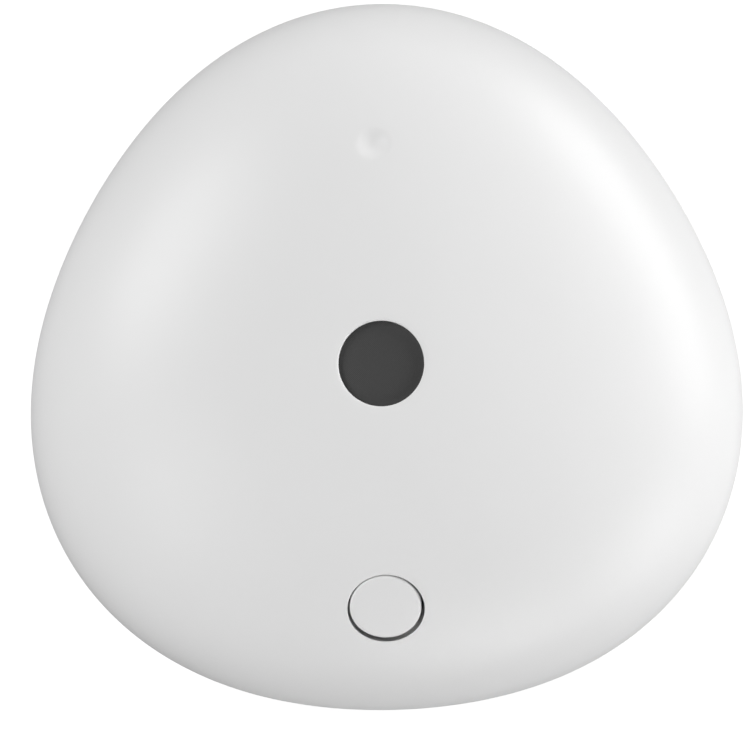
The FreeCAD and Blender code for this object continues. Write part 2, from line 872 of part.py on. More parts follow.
def sensor(angle):
    # Round domed package that looks at the middle of the chamber, leads bent down to the board
    back = vane_outer_radius + sensor_clearance
    radius = sensor_diameter / 2
    middle = Vector(back - sensor_length + radius, 0, sensor_axis_z())
    body = Part.makeCylinder(radius, sensor_length - radius, middle, Vector(1, 0, 0))
    dome = Part.makeSphere(radius, middle)
    flange = Part.makeCylinder(sensor_flange_diameter / 2, sensor_flange_thickness,
                               Vector(back, 0, sensor_axis_z()), Vector(1, 0, 0))
    item = body.fuse([dome, flange])
    for side in (-1, 1):
        item = item.fuse(sensor_lead(back, side * lead_pitch / 2))
    return in_chamber(item.removeSplitter(), angle)


def sensor_lead(back, y):
    outer = screen_radius + lead_from_screen + lead_width
    low, high = sensor_axis_z() - lead_width / 2, sensor_axis_z() + lead_width / 2
    out = box(back, outer, y - lead_width / 2, y + lead_width / 2, low, high)
    down = box(outer - lead_width, outer, y - lead_width / 2, y + lead_width / 2, board_top_z, high)
    return out.fuse(down)


def ir_emitter():
    return sensor(emitter_angle)


def photodiode():
    return sensor(detector_angle)


def insect_screen():
    bottom = chamber_z
    top = chamber_top_z - chamber_cap_thickness
    band = ring(screen_radius, chamber_radius, bottom, top)
    pitch = 2 * math.pi * screen_radius / screen_slots
    half = pitch * screen_slot_share / 2
    slot = box(chamber_radius - cutter_overrun, screen_radius + cutter_overrun, -half, half,
               bottom + screen_border, top - screen_border)
    slots = [turned(slot, 360.0 / screen_slots * index) for index in range(screen_slots)]
    band = band.cut(slots)
    for angle in (emitter_angle, detector_angle):
        band = band.cut(turned(lead_window(), angle))
    return in_chamber(band)


def lead_window():
    half = lead_pitch / 2 + lead_width
    return box(chamber_radius - cutter_overrun, screen_radius + cutter_overrun, -half, half,
               sensor_axis_z() - lead_width, sensor_axis_z() + lead_width)


def chamber_cap():
    bottom = chamber_top_z - chamber_cap_thickness
    cap = cylinder(screen_radius, bottom, chamber_top_z)
    outer = vane_inner_radius - cap_rim_width
    rim = ring(outer, outer - cap_rim_width, bottom - cap_rim_height, bottom)
    return in_chamber(cap.fuse(rim).removeSplitter())


# Sounder

def sounder_horn():
    seat_radius = piezo_diameter / 2 + piezo_clearance
    outer = seat_radius + horn_wall
    neck = neck_bore / 2
    profile = [(cavity_radius, piezo_top_z), (seat_radius, piezo_top_z), (seat_radius, clamp_top_z),
               (outer, clamp_top_z), (outer, cavity_top_z - horn_wall), (outer - horn_wall * 2, cavity_top_z + horn_wall),
               (neck + neck_wall, cavity_top_z + horn_wall), (neck + neck_wall, horn_top_z), (neck, horn_top_z),
               (neck, cavity_top_z), (cavity_radius, cavity_top_z)]
    horn = revolved(profile)
    for angle in ear_angles:
        horn = horn.fuse(turned(ear(clamp_top_z, ear_top_z, outer - horn_wall / 2), angle))
    return horn.cut(ear_holes(clamp_top_z, ear_top_z)).removeSplitter()


def ear(z0, z1, inner):
    tip = cylinder(ear_diameter / 2, z0, z1, ear_circle)
    web = box(0, ear_circle, -ear_diameter / 2, ear_diameter / 2, z0, z1)
    return tip.fuse(web).cut(cylinder(inner, z0, z1))


def ear_holes(z0, z1):
    holes = []
    for angle in ear_angles:
        place = on_circle(ear_circle, angle)
        holes.append(cylinder(small_screw_diameter / 2 + screw_hole_gap, z0, z1, place.x, place.y))
    return holes


def sounder_clamp():
    outer = piezo_diameter / 2 + piezo_clearance + horn_wall
    clamp = ring(outer, cavity_radius, clamp_z, clamp_top_z)
    for angle in ear_angles:
        clamp = clamp.fuse(turned(ear(clamp_z, clamp_top_z, outer - horn_wall / 2), angle))
    return clamp.cut(ear_holes(clamp_z, clamp_top_z)).removeSplitter()


def piezo_plate():
    return cylinder(piezo_diameter / 2, piezo_top_z - piezo_thickness, piezo_top_z)


def piezo_ceramic():
    bottom = piezo_top_z - piezo_thickness
    return cylinder(ceramic_diameter / 2, bottom - ceramic_thickness, bottom)


def sounder_contacts():
    strips = []
    top = piezo_top_z - piezo_thickness - ceramic_thickness - clip_gap
    for angle in strip_angles:
        upright = box(strip_circle, strip_circle + strip_thickness, -strip_width / 2, strip_width / 2,
                      board_top_z, strip_z + strip_thickness)
        arm = box(strip_tip_radius, strip_circle + strip_thickness, -strip_width / 2, strip_width / 2,
                  strip_z, strip_z + strip_thickness)
        tip = box(strip_tip_radius, strip_tip_radius + strip_thickness, -strip_width / 2, strip_width / 2,
                  strip_z, top)
        foot = box(strip_circle, strip_circle + strip_foot, -strip_width / 2, strip_width / 2,
                   board_top_z, board_top_z + strip_thickness)
        strips.append(turned(upright.fuse([arm, tip, foot]).removeSplitter(), angle))
    return Part.makeCompound(strips)


def sounder_gasket():
    return ring(neck_bore / 2 + gasket_width, neck_bore / 2, horn_top_z, mesh_z)


def sounder_mesh():
    return cylinder(mesh_diameter / 2, mesh_z, mesh_top_z)


# Test button and its switch

def test_button():
    dome = Part.makeLoft([outline_wire(widest_z, 0.0)] + dome_wires(0.0), True, False)
    plug = turned(cylinder(button_diameter / 2, -button_cap_depth, cover_wall), first_lobe_angle)
    crown = at_button(plug).common(dome)
    crown = crown.makeFillet(button_edge_round, [crown_edge(crown)])
    pocket = ring(button_diameter / 2 - button_skirt_wall, stem_diameter / 2, -button_cap_depth,
                  -button_crown_thickness)
    stem = at_button(cylinder(stem_diameter / 2, -stem_reach - stem_diameter, -button_crown_thickness))
    size = 4 * stem_diameter
    below = box(-size, size, switch_y - size, switch_y + size, stem_tip_z - size, stem_tip_z)
    return crown.cut(at_button(pocket)).fuse(stem.cut(below)).removeSplitter()


def crown_edge(crown):
    # The rim of the crown: the edge that lies furthest out along the button's axis
    outward = button_place.Rotation.multVec(Vector(0, 0, 1))
    closed = [edge for edge in crown.Edges if edge.Length > button_diameter * 2]
    return max(closed, key=lambda edge: edge.CenterOfMass.dot(outward))


def button_clip():
    top = guide_z - clip_gap
    return at_button(ring(clip_diameter / 2, stem_diameter / 2 + clip_fit, top - clip_thickness, top))


def button_guide():
    plate = cylinder(hole_radius + guide_wall, guide_z, -collar_depth)
    return at_button(plate.cut(cylinder(stem_diameter / 2 + stem_fit, guide_z, -collar_depth)))


def button_spring():
    # Open coil of quarter-turn arcs that climb from the guide to the crown
    radius = button_diameter / 2 - button_skirt_wall - spring_clearance - spring_wire / 2
    bottom = -collar_depth + spring_wire / 2
    rise = -button_crown_thickness - spring_wire / 2 - bottom
    steps = 8 * spring_turns
    points = [on_circle(radius, 45.0 * step) + Vector(0, 0, bottom + rise * step / steps)
              for step in range(steps + 1)]
    arcs = [Part.Arc(*points[step:step + 3]).toShape() for step in range(0, steps, 2)]
    rim = [on_circle(spring_wire / 2, 360.0 / spring_wire_sides * side) for side in range(spring_wire_sides)]
    corners = [points[0] + Vector(corner.x, 0, corner.y) for corner in rim]
    section = Part.makePolygon(corners + corners[:1])
    return at_button(Part.Wire(arcs).makePipeShell([section], True, False))


def tact_switch():
    half = switch_size / 2
    body = box(-half, half, switch_y - half, switch_y + half, board_top_z, switch_top_z)
    upright = [edge for edge in body.Edges if abs(edge.Vertexes[0].Z - edge.Vertexes[1].Z) > switch_height / 2]
    body = body.makeFillet(switch_corner_round, upright)
    well_z = switch_top_z - plunger_inside - button_travel - plunger_well_spare
    return body.cut(cylinder(plunger_diameter / 2 + plunger_fit, well_z, switch_top_z, 0, switch_y))


def switch_plunger():
    rod = cylinder(plunger_diameter / 2, switch_top_z - plunger_inside, plunger_top_z, 0, switch_y)
    return rod.makeFillet(plunger_edge_round, [max(rod.Edges, key=lambda edge: edge.CenterOfMass.z)])


pieces = [
    mounting_plate, rear_housing, vent_grille, front_cover, cover_screws,
    circuit_board, board_screws, controller, capacitor, sounder_coil, status_led, light_pipe,
    battery, battery_contact_positive, battery_contact_negative,
    chamber_base, chamber_cap, insect_screen, ir_emitter, photodiode,
    sounder_horn, sounder_clamp, piezo_plate, piezo_ceramic, sounder_contacts, sounder_screws,
    sounder_gasket, sounder_mesh,
    test_button, button_clip, button_guide, button_spring, tact_switch, switch_plunger,
]

os.makedirs("parts", exist_ok=True)
for piece in pieces:
    shape = piece()
    print(piece.__name__, len(shape.Solids), round(shape.Volume, 2), shape.isValid())
    shape.exportStep("parts/" + piece.__name__ + ".step")
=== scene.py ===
import json
import logging
import math
from dataclasses import dataclass, field
from enum import Enum
from functools import cache
from typing import Iterable

import bmesh
import bpy
from bmesh.types import BMEdge, BMesh, BMFace, BMVert
from bpy.types import Material, Node, NodeSocket, NodeTree, Object
from mathutils import Matrix, Vector

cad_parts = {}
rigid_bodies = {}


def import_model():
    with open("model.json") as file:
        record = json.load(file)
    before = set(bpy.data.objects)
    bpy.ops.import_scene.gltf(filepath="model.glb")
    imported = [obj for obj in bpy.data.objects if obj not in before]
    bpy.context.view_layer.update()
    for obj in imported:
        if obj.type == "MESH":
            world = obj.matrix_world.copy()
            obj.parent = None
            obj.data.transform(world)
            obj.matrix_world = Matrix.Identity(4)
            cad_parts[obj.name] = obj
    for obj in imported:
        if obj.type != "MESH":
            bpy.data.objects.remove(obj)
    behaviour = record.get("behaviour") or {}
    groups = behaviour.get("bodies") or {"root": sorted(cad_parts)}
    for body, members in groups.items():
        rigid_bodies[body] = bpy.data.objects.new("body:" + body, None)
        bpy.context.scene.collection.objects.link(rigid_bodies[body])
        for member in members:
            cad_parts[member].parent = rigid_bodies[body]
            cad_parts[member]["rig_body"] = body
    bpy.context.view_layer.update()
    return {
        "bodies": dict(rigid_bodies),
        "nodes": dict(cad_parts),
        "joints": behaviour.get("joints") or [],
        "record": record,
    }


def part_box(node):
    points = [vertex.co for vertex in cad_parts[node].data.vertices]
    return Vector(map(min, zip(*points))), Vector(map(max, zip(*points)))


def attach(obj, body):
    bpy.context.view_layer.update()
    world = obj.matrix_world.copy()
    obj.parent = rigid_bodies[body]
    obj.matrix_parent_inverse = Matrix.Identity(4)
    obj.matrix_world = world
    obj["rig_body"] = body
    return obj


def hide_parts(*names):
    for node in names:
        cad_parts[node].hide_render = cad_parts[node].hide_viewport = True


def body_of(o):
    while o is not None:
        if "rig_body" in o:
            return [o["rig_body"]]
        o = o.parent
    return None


# Smoke alarm with a lobed dome, a sounder port and a test button.
# Metres, +Z out of the front face, +Y towards the indicator dimple.

MM = 0.001
NEAR = 0.001 * MM
WELD = 0.0001 * MM
SHARP_DEGREES = 35.0
TUBE_STEPS = 24
LOG = logging.getLogger("smoke_alarm")

Profile = list[tuple[float, float]]
Colour = tuple[float, float, float]


class Body(Enum):
    """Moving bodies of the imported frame."""

    PLATE = "plate"
    ALARM = "alarm"
    BUTTON = "button"
    PLUNGER = "plunger"


class LampSide(Enum):
    """Where a studio lamp stands, as seen in the photograph's view."""

    RIGHT = "right"
    UPPER_RIGHT = "upper_right"
    TOP = "top"
    UPPER_LEFT = "upper_left"
    LOWER_LEFT = "lower_left"
    LOWER = "lower"
    LOWER_RIGHT = "lower_right"
    BELOW = "below"


# Finishes


class NodeSketch:
    """Adds and links the nodes of one tree."""

    def __init__(self, tree: NodeTree) -> None:
        """Takes the tree as it is."""
        self.tree = tree

    def add(self, kind: str, settings: dict[str, object] | None = None, **inputs: object) -> Node:
        """Adds one node.

        Args:
            kind: Type name of the node.
            settings: Attributes to set on the node.
            **inputs: Values or sockets for its inputs.

        Returns:
            The new node.
        """
        node = self.tree.nodes.new(kind)
        for key, value in (settings or {}).items():
            setattr(node, key, value)
        self.fill(node, inputs)
        return node

    def fill(self, node: Node, values: dict[str, object]) -> None:
        """Fills inputs of a node.

        Args:
            node: Node to fill.
            values: Values or sockets, underscores in the names standing for spaces.
        """
        for key, value in values.items():
            self.feed(node.inputs[key.replace("_", " ")], value)

    def feed(self, socket: NodeSocket, value: object) -> None:
        """Links a socket to an input, or sets its value.

        Args:
            socket: Input to fill.
            value: Output socket or plain value.
        """
        if isinstance(value, NodeSocket):
            self.tree.links.new(value, socket)
        else:
            socket.default_value = value

    def join(self, kind: str, *sources: object, **settings: object) -> NodeSocket:
        """Adds a node that is fed from its first input on.

        Args:
            kind: Type name of the node.
            *sources: Values or sockets for its inputs.
            **settings: Attributes to set on the node.

        Returns:
            Its first output.
        """
        node = self.add(kind, settings)
        for socket, source in zip(node.inputs, sources):
            self.feed(socket, source)
        return node.outputs[0]

    def math(self, operation: str, first: object, second: object = 0.0) -> NodeSocket:
        """Result of a math node."""
        return self.join("ShaderNodeMath", first, second, operation=operation)

    def seeing_rays(self, *others: str) -> NodeSocket:
        """Adds a factor that is 1 for camera rays and for some others.

        Args:
            *others: Names of the Light Path outputs to count as well.

        Returns:
            The factor.
        """
        path = self.add("ShaderNodeLightPath").outputs
        factor = path["Is Camera Ray"]
        for name in others:
            factor = self.math("MAXIMUM", factor, path[name])
        return factor


class MaterialSketch(NodeSketch):
    """Adds and links the nodes of one material."""

    def __init__(self, name: str) -> None:
        """Starts a material that holds a Principled shader and object coordinates.

        Args:
            name: Name of the material.
        """
        self.material = bpy.data.materials.new(name)
        self.material.use_nodes = True
        super().__init__(self.material.node_tree)
        self.shader = self.tree.nodes["Principled BSDF"]
        self.coords = self.add("ShaderNodeTexCoord").outputs["Object"]

    def noise(self, size: float, detail: float = 2.0, stretch: Colour = (1.0, 1.0, 1.0)) -> NodeSocket:
        """Adds a noise pattern.

        Args:
            size: Size of its grains in metres.
            detail: Octaves of finer noise.
            stretch: Scale of the coordinates along each axis.

        Returns:
            Its value, about 0 to 1.
        """
        vector = self.coords
        if stretch != (1.0, 1.0, 1.0):
            vector = self.add("ShaderNodeMapping", Vector=self.coords, Scale=stretch).outputs["Vector"]
        return self.add("ShaderNodeTexNoise", Vector=vector, Scale=1.0 / size, Detail=detail).outputs["Fac"]

    def remap(self, value: NodeSocket, low: float, high: float,
              start: float = 0.3, end: float = 0.7) -> NodeSocket:
        """Maps a value from one range to another.

        Args:
            value: Value to map.
            low: Result at the start of the range.
            high: Result at its end.
            start: Start of the range.
            end: End of the range.

        Returns:
            The mapped value, held within low and high.
        """
        node = self.add("ShaderNodeMapRange", {"clamp": True}, Value=value, From_Min=start, From_Max=end,
                        To_Min=low, To_Max=high)
        return node.outputs["Result"]

    def blend(self, factor: NodeSocket, first: Colour, second: Colour) -> NodeSocket:
        """Blends two colours.

        Args:
            factor: 0 for the first colour, 1 for the second.
            first: First colour.
            second: Second colour.

        Returns:
            The blended colour.
        """
        ramp = self.add("ShaderNodeValToRGB", Fac=factor)
        ramp.color_ramp.elements[0].color = (*first, 1.0)
        ramp.color_ramp.elements[1].color = (*second, 1.0)
        return ramp.outputs["Color"]

    def axes(self) -> dict[str, NodeSocket]:
        """Splits the object coordinates into X, Y and Z."""
        split = self.add("ShaderNodeSeparateXYZ", Vector=self.coords)
        return {axis: split.outputs[axis] for axis in "XYZ"}

    def bump(self, height: NodeSocket, depth: float, strength: float = 1.0) -> None:
        """Adds relief on top of what the shader has.

        Args:
            height: Height pattern, 0 to 1.
            depth: Depth of the relief in metres.
            strength: Strength of the relief.
        """
        normal = self.shader.inputs["Normal"]
        node = self.add("ShaderNodeBump", Height=height, Distance=depth, Strength=strength)
        if normal.links:
            self.feed(node.inputs["Normal"], normal.links[0].from_socket)
        self.feed(normal, node.outputs["Normal"])

    def set(self, **values: object) -> None:
        """Fills inputs of the shader."""
        self.fill(self.shader, values)


def placed(name: str, data: bpy.types.ID) -> Object:
    """Makes an object of a mesh, lamp or camera and links it to the scene.

    Args:
        name: Name of the object.
        data: What it shows.

    Returns:
        The object.
    """
    item = bpy.data.objects.new(name, data)
    bpy.context.scene.collection.objects.link(item)
    return item


def shade(colour: Colour, share: float) -> Colour:
    """Scales each channel of a colour, up to 1 at most."""
    return tuple(min(1.0, channel * share) for channel in colour)


@dataclass(frozen=True)
class Finish:
    """Look of one kind of surface."""

    name: str

    def material(self) -> Material:
        """Builds the material.

        Returns:
            The material.
        """
        sketch = MaterialSketch(self.name)
        self.paint(sketch)
        return sketch.material

    def paint(self, sketch: MaterialSketch) -> None:
        """Fills a new material, each finish in its own way."""
        raise NotImplementedError


@dataclass(frozen=True)
class MouldedPlastic(Finish):
    """Moulded plastic: satin grain, faint flow marks and an uneven gloss."""

    colour: Colour
    roughness: float = 0.42
    spread: float = 0.05
    grain: float = 0.3 * MM
    relief: float = 0.0012 * MM
    mottle: float = 0.02
    gloss: float = 0.45

    def paint(self, sketch: MaterialSketch) -> None:
        """Adds the flow marks, the grain and the gloss.

        Args:
            sketch: Material to fill.
        """
        flow = sketch.noise(18.0 * MM, 3.0)
        grain = sketch.noise(self.grain, 3.0)
        darker, lighter = shade(self.colour, 1.0 - self.mottle), shade(self.colour, 1.0 + self.mottle)
        smooth, rough = self.roughness - self.spread, self.roughness + self.spread
        sketch.set(Base_Color=sketch.blend(sketch.remap(flow, 0.0, 1.0), darker, lighter),
                   Roughness=sketch.remap(grain, smooth, rough), IOR=1.49, Specular_IOR_Level=self.gloss)
        sketch.bump(grain, self.relief)


@dataclass(frozen=True)
class PlatedMetal(Finish):
    """Plated or rolled metal with fine drawing lines and dull patches."""

    colour: Colour
    roughness: float = 0.28
    lines: float = 0.12 * MM
    relief: float = 0.002 * MM

    def paint(self, sketch: MaterialSketch) -> None:
        """Adds the dull patches and the drawing lines.

        Args:
            sketch: Material to fill.
        """
        patches = sketch.noise(2.5 * MM, 4.0)
        lines = sketch.noise(self.lines, 3.0, (1.0, 0.08, 1.0))
        dull = shade(self.colour, 0.78)
        rough = sketch.remap(patches, self.roughness + 0.12, self.roughness - 0.06)
        sketch.set(Base_Color=sketch.blend(sketch.remap(patches, 0.0, 1.0), dull, self.colour),
                   Metallic=1.0, Roughness=rough)
        sketch.bump(lines, self.relief)


@dataclass(frozen=True)
class ClearResin(Finish):
    """Clear or smoked moulded resin with faint flow lines."""

    colour: Colour
    roughness: float = 0.06

    def paint(self, sketch: MaterialSketch) -> None:
        """Adds the tint and the flow lines.

        Args:
            sketch: Material to fill.
        """
        flow = sketch.noise(1.5 * MM, 3.0)
        sketch.set(Base_Color=sketch.blend(flow, shade(self.colour, 0.85), self.colour),
                   Roughness=sketch.remap(flow, self.roughness, self.roughness + 0.1),
                   Transmission_Weight=0.9, IOR=1.56)
        sketch.bump(flow, 0.003 * MM)


@dataclass(frozen=True)
class WovenMesh(Finish):
    """Fine dark woven cloth behind the port, with painted shade and light on its threads."""

    colour: Colour
    pitch: float = 0.3 * MM

    def paint(self, sketch: MaterialSketch) -> None:
        """Adds the crossing threads and their fuzz, with painted shade where they dip and painted light on
        their crowns.

        Args:
            sketch: Material to fill.
        """
        axes = sketch.axes()
        turns = 2.0 * math.pi / self.pitch
        across = sketch.math("SINE", sketch.math("MULTIPLY", axes["X"], turns))
        along = sketch.math("SINE", sketch.math("MULTIPLY", axes["Y"], turns))
        weave = sketch.remap(sketch.math("MULTIPLY", across, along), 0.0, 1.0, -1.0, 1.0)
        fuzz = sketch.noise(0.12 * MM, 3.0)
        main, fine = sketch.math("MULTIPLY", weave, 0.75), sketch.math("MULTIPLY", fuzz, 0.25)
        threads_and_painted_light = sketch.math("ADD", main, fine)
        # Painted shade and light: the colour is darker where the threads dip and lighter on their raised
        # crowns, following the bump.
        sketch.set(Base_Color=sketch.blend(threads_and_painted_light, shade(self.colour, 0.8), shade(self.colour, 1.25)),
                   Roughness=sketch.remap(fuzz, 0.7, 0.9), Specular_IOR_Level=0.25)
        sketch.bump(threads_and_painted_light, 0.03 * MM, 0.6)


@dataclass(frozen=True)
class SolderMask(Finish):
    """Green circuit board: mask over copper tracks and woven laminate."""

    mask: Colour = (0.012, 0.11, 0.04)
    track: Colour = (0.02, 0.19, 0.06)
    pitch: float = 2.4 * MM

    def paint(self, sketch: MaterialSketch) -> None:
        """Adds the tracks and the laminate's weave.

        Args:
            sketch: Material to fill.
        """
        cells = sketch.add("ShaderNodeTexBrick", {"offset": 0.37, "squash": 0.7, "squash_frequency": 3},
                           Vector=sketch.coords, Scale=1.0, Mortar_Size=0.22 * MM, Mortar_Smooth=0.15,
                           Brick_Width=3.1 * self.pitch, Row_Height=self.pitch)
        weave = sketch.noise(0.4 * MM, 2.0)
        sketch.set(Base_Color=sketch.blend(cells.outputs["Fac"], self.mask, self.track),
                   Roughness=sketch.remap(weave, 0.22, 0.38), Coat_Weight=0.3)
        sketch.bump(cells.outputs["Fac"], 0.035 * MM)
        sketch.bump(weave, 0.004 * MM)


@dataclass(frozen=True)
class Foam(Finish):
    """Open-celled foam of the gasket, with painted shade in its cells."""

    colour: Colour
    cell: float = 0.35 * MM

    def paint(self, sketch: MaterialSketch) -> None:
        """Adds the open cells, painted darker in their pits as shade.

        Args:
            sketch: Material to fill.
        """
        cells = sketch.add("ShaderNodeTexVoronoi", Vector=sketch.coords, Scale=1.0 / self.cell)
        pits_and_painted_shade = sketch.remap(cells.outputs["Distance"], 0.0, 1.0, 0.1, 0.7)
        # Painted shade: the colour darkens to a third in the cell pits, where the bump sinks.
        sketch.set(Base_Color=sketch.blend(pits_and_painted_shade, shade(self.colour, 0.35), self.colour),
                   Roughness=sketch.remap(pits_and_painted_shade, 0.8, 0.95), Specular_IOR_Level=0.1)
        sketch.bump(pits_and_painted_shade, 0.12 * MM)


@dataclass(frozen=True)
class BandedSleeve(Finish):
    """Shrink sleeve in two colours that meet at a height or length of the object."""

    first: Colour
    second: Colour
    axis: str
    border: float
    soft: float = 0.1 * MM

    def paint(self, sketch: MaterialSketch) -> None:
        """Adds the two colours and the wrinkles.

        Args:
            sketch: Material to fill.
        """
        place = sketch.axes()[self.axis]
        side = sketch.remap(place, 0.0, 1.0, self.border - self.soft, self.border + self.soft)
        wrinkle = sketch.noise(1.2 * MM, 4.0, (1.0, 0.3, 1.0))
        sketch.set(Base_Color=sketch.blend(side, self.first, self.second),
                   Roughness=sketch.remap(wrinkle, 0.18, 0.34), Coat_Weight=0.25)
        sketch.bump(wrinkle, 0.01 * MM)


@dataclass(frozen=True)
class CopperWinding(Finish):
    """Enamelled wire wound between dark ferrite flanges."""

    flange: Colour
    wire: Colour
    low: float
    high: float
    pitch: float = 0.35 * MM
    soft: float = 0.02 * MM

    def paint(self, sketch: MaterialSketch) -> None:
        """Adds the wound wire between the flanges.

        Args:
            sketch: Material to fill.
        """
        height = sketch.axes()["Z"]
        above = sketch.remap(height, 0.0, 1.0, self.low - self.soft, self.low + self.soft)
        below = sketch.remap(height, 1.0, 0.0, self.high - self.soft, self.high + self.soft)
        wound = sketch.math("MULTIPLY", above, below)
        turns = sketch.math("SINE", sketch.math("MULTIPLY", height, 2.0 * math.pi / self.pitch))
        grain = sketch.noise(0.25 * MM, 3.0)
        sketch.set(Base_Color=sketch.blend(wound, self.flange, self.wire),
                   Metallic=sketch.math("MULTIPLY", wound, 0.85), Roughness=sketch.remap(grain, 0.3, 0.5))
        sketch.bump(sketch.math("MULTIPLY", sketch.remap(turns, 0.0, 1.0, -1.0, 1.0), wound), 0.08 * MM)
        sketch.bump(grain, 0.003 * MM)


@cache
def material_of(slot: str) -> Material:
    """Material of a slot, made at its first use."""
    return FINISHES[slot].material()


# Forms


@dataclass(frozen=True)
class CasingForm:
    """The lobed dome that the cover, the button and the dimple share."""

    mean_radius: float
    swell: float
    lobes: int = 3
    widest_z: float = 15.0 * MM
    top_z: float = 42.0 * MM
    rim_z: float = 12.6 * MM
    power: float = 2.2
    curl_inset: float = 1.0 * MM
    slides: int = 8

    @classmethod
    def inside(cls, low: Vector, high: Vector) -> "CasingForm":
        """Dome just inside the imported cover, whose box a lobe touches at +Y and a hollow at -Y.

        Args:
            low: Lowest corner of the box.
            high: Highest corner of the box.

        Returns:
            The form.
        """
        clearance = 0.1 * MM
        return cls((high.y - low.y) / 2.0 - clearance, (high.y + low.y) / 2.0)

    def radius(self, angle: float, inset: float = 0.0) -> float:
        """Radius of the outline.

        Args:
            angle: Direction in radians from +X.
            inset: Distance inside the outline.

        Returns:
            The radius in metres.
        """
        return self.mean_radius - inset + self.swell * self.lobe(angle)

    def lobe(self, angle: float) -> float:
        """1 in the middle of a lobe and -1 between two lobes."""
        return math.cos(self.lobes * (angle - math.pi / 2.0))

    def height(self, x: float, y: float, inset: float = 0.0) -> float:
        """Height of the dome over a point.

        Args:
            x: X of the point.
            y: Y of the point.
            inset: Distance inside the outer skin.

        Returns:
            The height in metres.
        """
        share = min(1.0, math.hypot(x, y) / self.radius(math.atan2(y, x), inset))
        rise = self.top_z - self.widest_z - inset
        return self.widest_z + rise * (1.0 - share ** self.power) ** (1.0 / self.power)

    def normal(self, x: float, y: float) -> Vector:
        """Outward direction of the dome over a point.

        Args:
            x: X of the point.
            y: Y of the point.

        Returns:
            A unit vector.
        """
        step = 0.05 * MM
        slope_x = (self.height(x + step, y) - self.height(x - step, y)) / (2.0 * step)
        slope_y = (self.height(x, y + step) - self.height(x, y - step)) / (2.0 * step)
        return Vector((-slope_x, -slope_y, 1.0)).normalized()

    def onto(self, point: Vector, direction: Vector, inset: float = 0.0) -> Vector:
        """Slides a point along a direction until it lies on the dome.

        Args:
            point: Point near the dome.
            direction: Direction to slide along.
            inset: Distance of the skin inside the outer one.

        Returns:
            The point on the skin.
        """
        place = point.copy()
        for _ in range(self.slides):
            gap = place.z - self.height(place.x, place.y, inset)
            normal = self.normal(place.x, place.y)
            place = place - direction * (gap * normal.z / direction.dot(normal))
        return place

    def meridian(self, inner_radius: float, steps: int, inset: float = 0.0) -> Profile:
        """Meridian of the dome from near the top down to its widest place.

        Args:
            inner_radius: Radius where it starts.
            steps: Number of steps.
            inset: Distance inside the outer skin.

        Returns:
            Radius and height of each point.
        """
        radius = self.mean_radius - inset
        rise = self.top_z - self.widest_z - inset
        first = math.acos((inner_radius / radius) ** (self.power / 2.0))
        points = []
        for step in range(steps + 1):
            turn = first * (1.0 - step / steps)
            points.append((radius * math.cos(turn) ** (2.0 / self.power),
                           self.widest_z + rise * max(0.0, math.sin(turn)) ** (2.0 / self.power)))
        return points

    def swell_out(self, verts: Iterable[BMVert], start: float, end: float) -> None:
        """Moves spun vertices out into the three lobes.

        Args:
            verts: Vertices of a form that was spun about Z.
            start: Radius inside which the form stays round.
            end: Radius outside which it has the full lobes.
        """
        for vert in verts:
            radius = math.hypot(vert.co.x, vert.co.y)
            if radius <= start:
                continue
            share = min(1.0, (radius - start) / (end - start))
            share = share * share * (3.0 - 2.0 * share)
            angle = math.atan2(vert.co.y, vert.co.x)
            factor = 1.0 + self.swell * self.lobe(angle) * share / max(self.mean_radius, radius)
            vert.co.x *= factor
            vert.co.y *= factor


@dataclass(frozen=True)
class ButtonSeat:
    """Frame of the test button, its axis square to the dome, with the slightly shifted oval of its hole."""

    form: CasingForm
    middle_y: float = -37.2 * MM
    hole_radius: float = 5.88 * MM
    guide_wall: float = 2.0 * MM
    collar_depth: float = 7.0 * MM
    squeeze: float = 0.955
    shift: float = -0.42 * MM

    def matrix(self) -> Matrix:
        """Placement of the button's frame.

        Returns:
            Matrix from the button's frame to the object's.
        """
        normal = self.axis()
        across = Vector((1.0, 0.0, 0.0))
        up = normal.cross(across)
        place = Vector((0.0, self.middle_y, self.form.height(0.0, self.middle_y)))
        return Matrix.Translation(place) @ Matrix((across, up, normal)).transposed().to_4x4()

    def axis(self) -> Vector:
        """Direction of the button's axis, out of the cover."""
        return self.form.normal(0.0, self.middle_y)

    def away(self, point: Vector) -> float:
        """Distance of a point of the button's frame from the oval's middle, on the scale of its width."""
        return math.hypot(point.x - self.shift, point.y / self.squeeze)

    def on_ring(self, point: Vector, radius: float, height: float) -> Vector:
        """Point of an oval ring that lies in the direction of another point of the button's frame.

        Args:
            point: Point that gives the direction.
            radius: Half the width of the ring.
            height: Height of the ring along the axis.

        Returns:
            The point on the ring.
        """
        share = radius / self.away(point)
        return Vector((self.shift + (point.x - self.shift) * share, point.y * share, height))


def spun(bm: BMesh, profile: Profile, steps: int, closed: bool = True) -> list[BMVert]:
    """Spins a profile about Z.

    Args:
        bm: Mesh to add to.
        profile: Radius and height of each point.
        steps: Number of steps round the axis.
        closed: Whether the last point joins the first.

    Returns:
        The vertices of the spun form.
    """
    known = set(bm.verts)
    points = [bm.verts.new((radius, 0.0, height)) for radius, height in profile]
    pairs = list(zip(points, points[1:]))
    if closed:
        pairs.append((points[-1], points[0]))
    edges = [bm.edges.new(pair) for pair in pairs]
    bmesh.ops.spin(bm, geom=points + edges, cent=(0, 0, 0), axis=(0, 0, 1), dvec=(0, 0, 0),
                   angle=2.0 * math.pi, steps=steps, use_merge=True, use_duplicate=False)
    return [vert for vert in bm.verts if vert not in known]


def tube(bm: BMesh, outer: float, inner: float, low: float, high: float, place: Vector) -> None:
    """Adds a plain tube that stands along Z.

    Args:
        bm: Mesh to add to.
        outer: Outer radius.
        inner: Inner radius.
        low: Height of its lower end.
        high: Height of its upper end.
        place: Where its axis stands.
    """
    verts = spun(bm, [(inner, low), (outer, low), (outer, high), (inner, high)], TUBE_STEPS)
    bmesh.ops.translate(bm, verts=verts, vec=(place.x, place.y, 0.0))


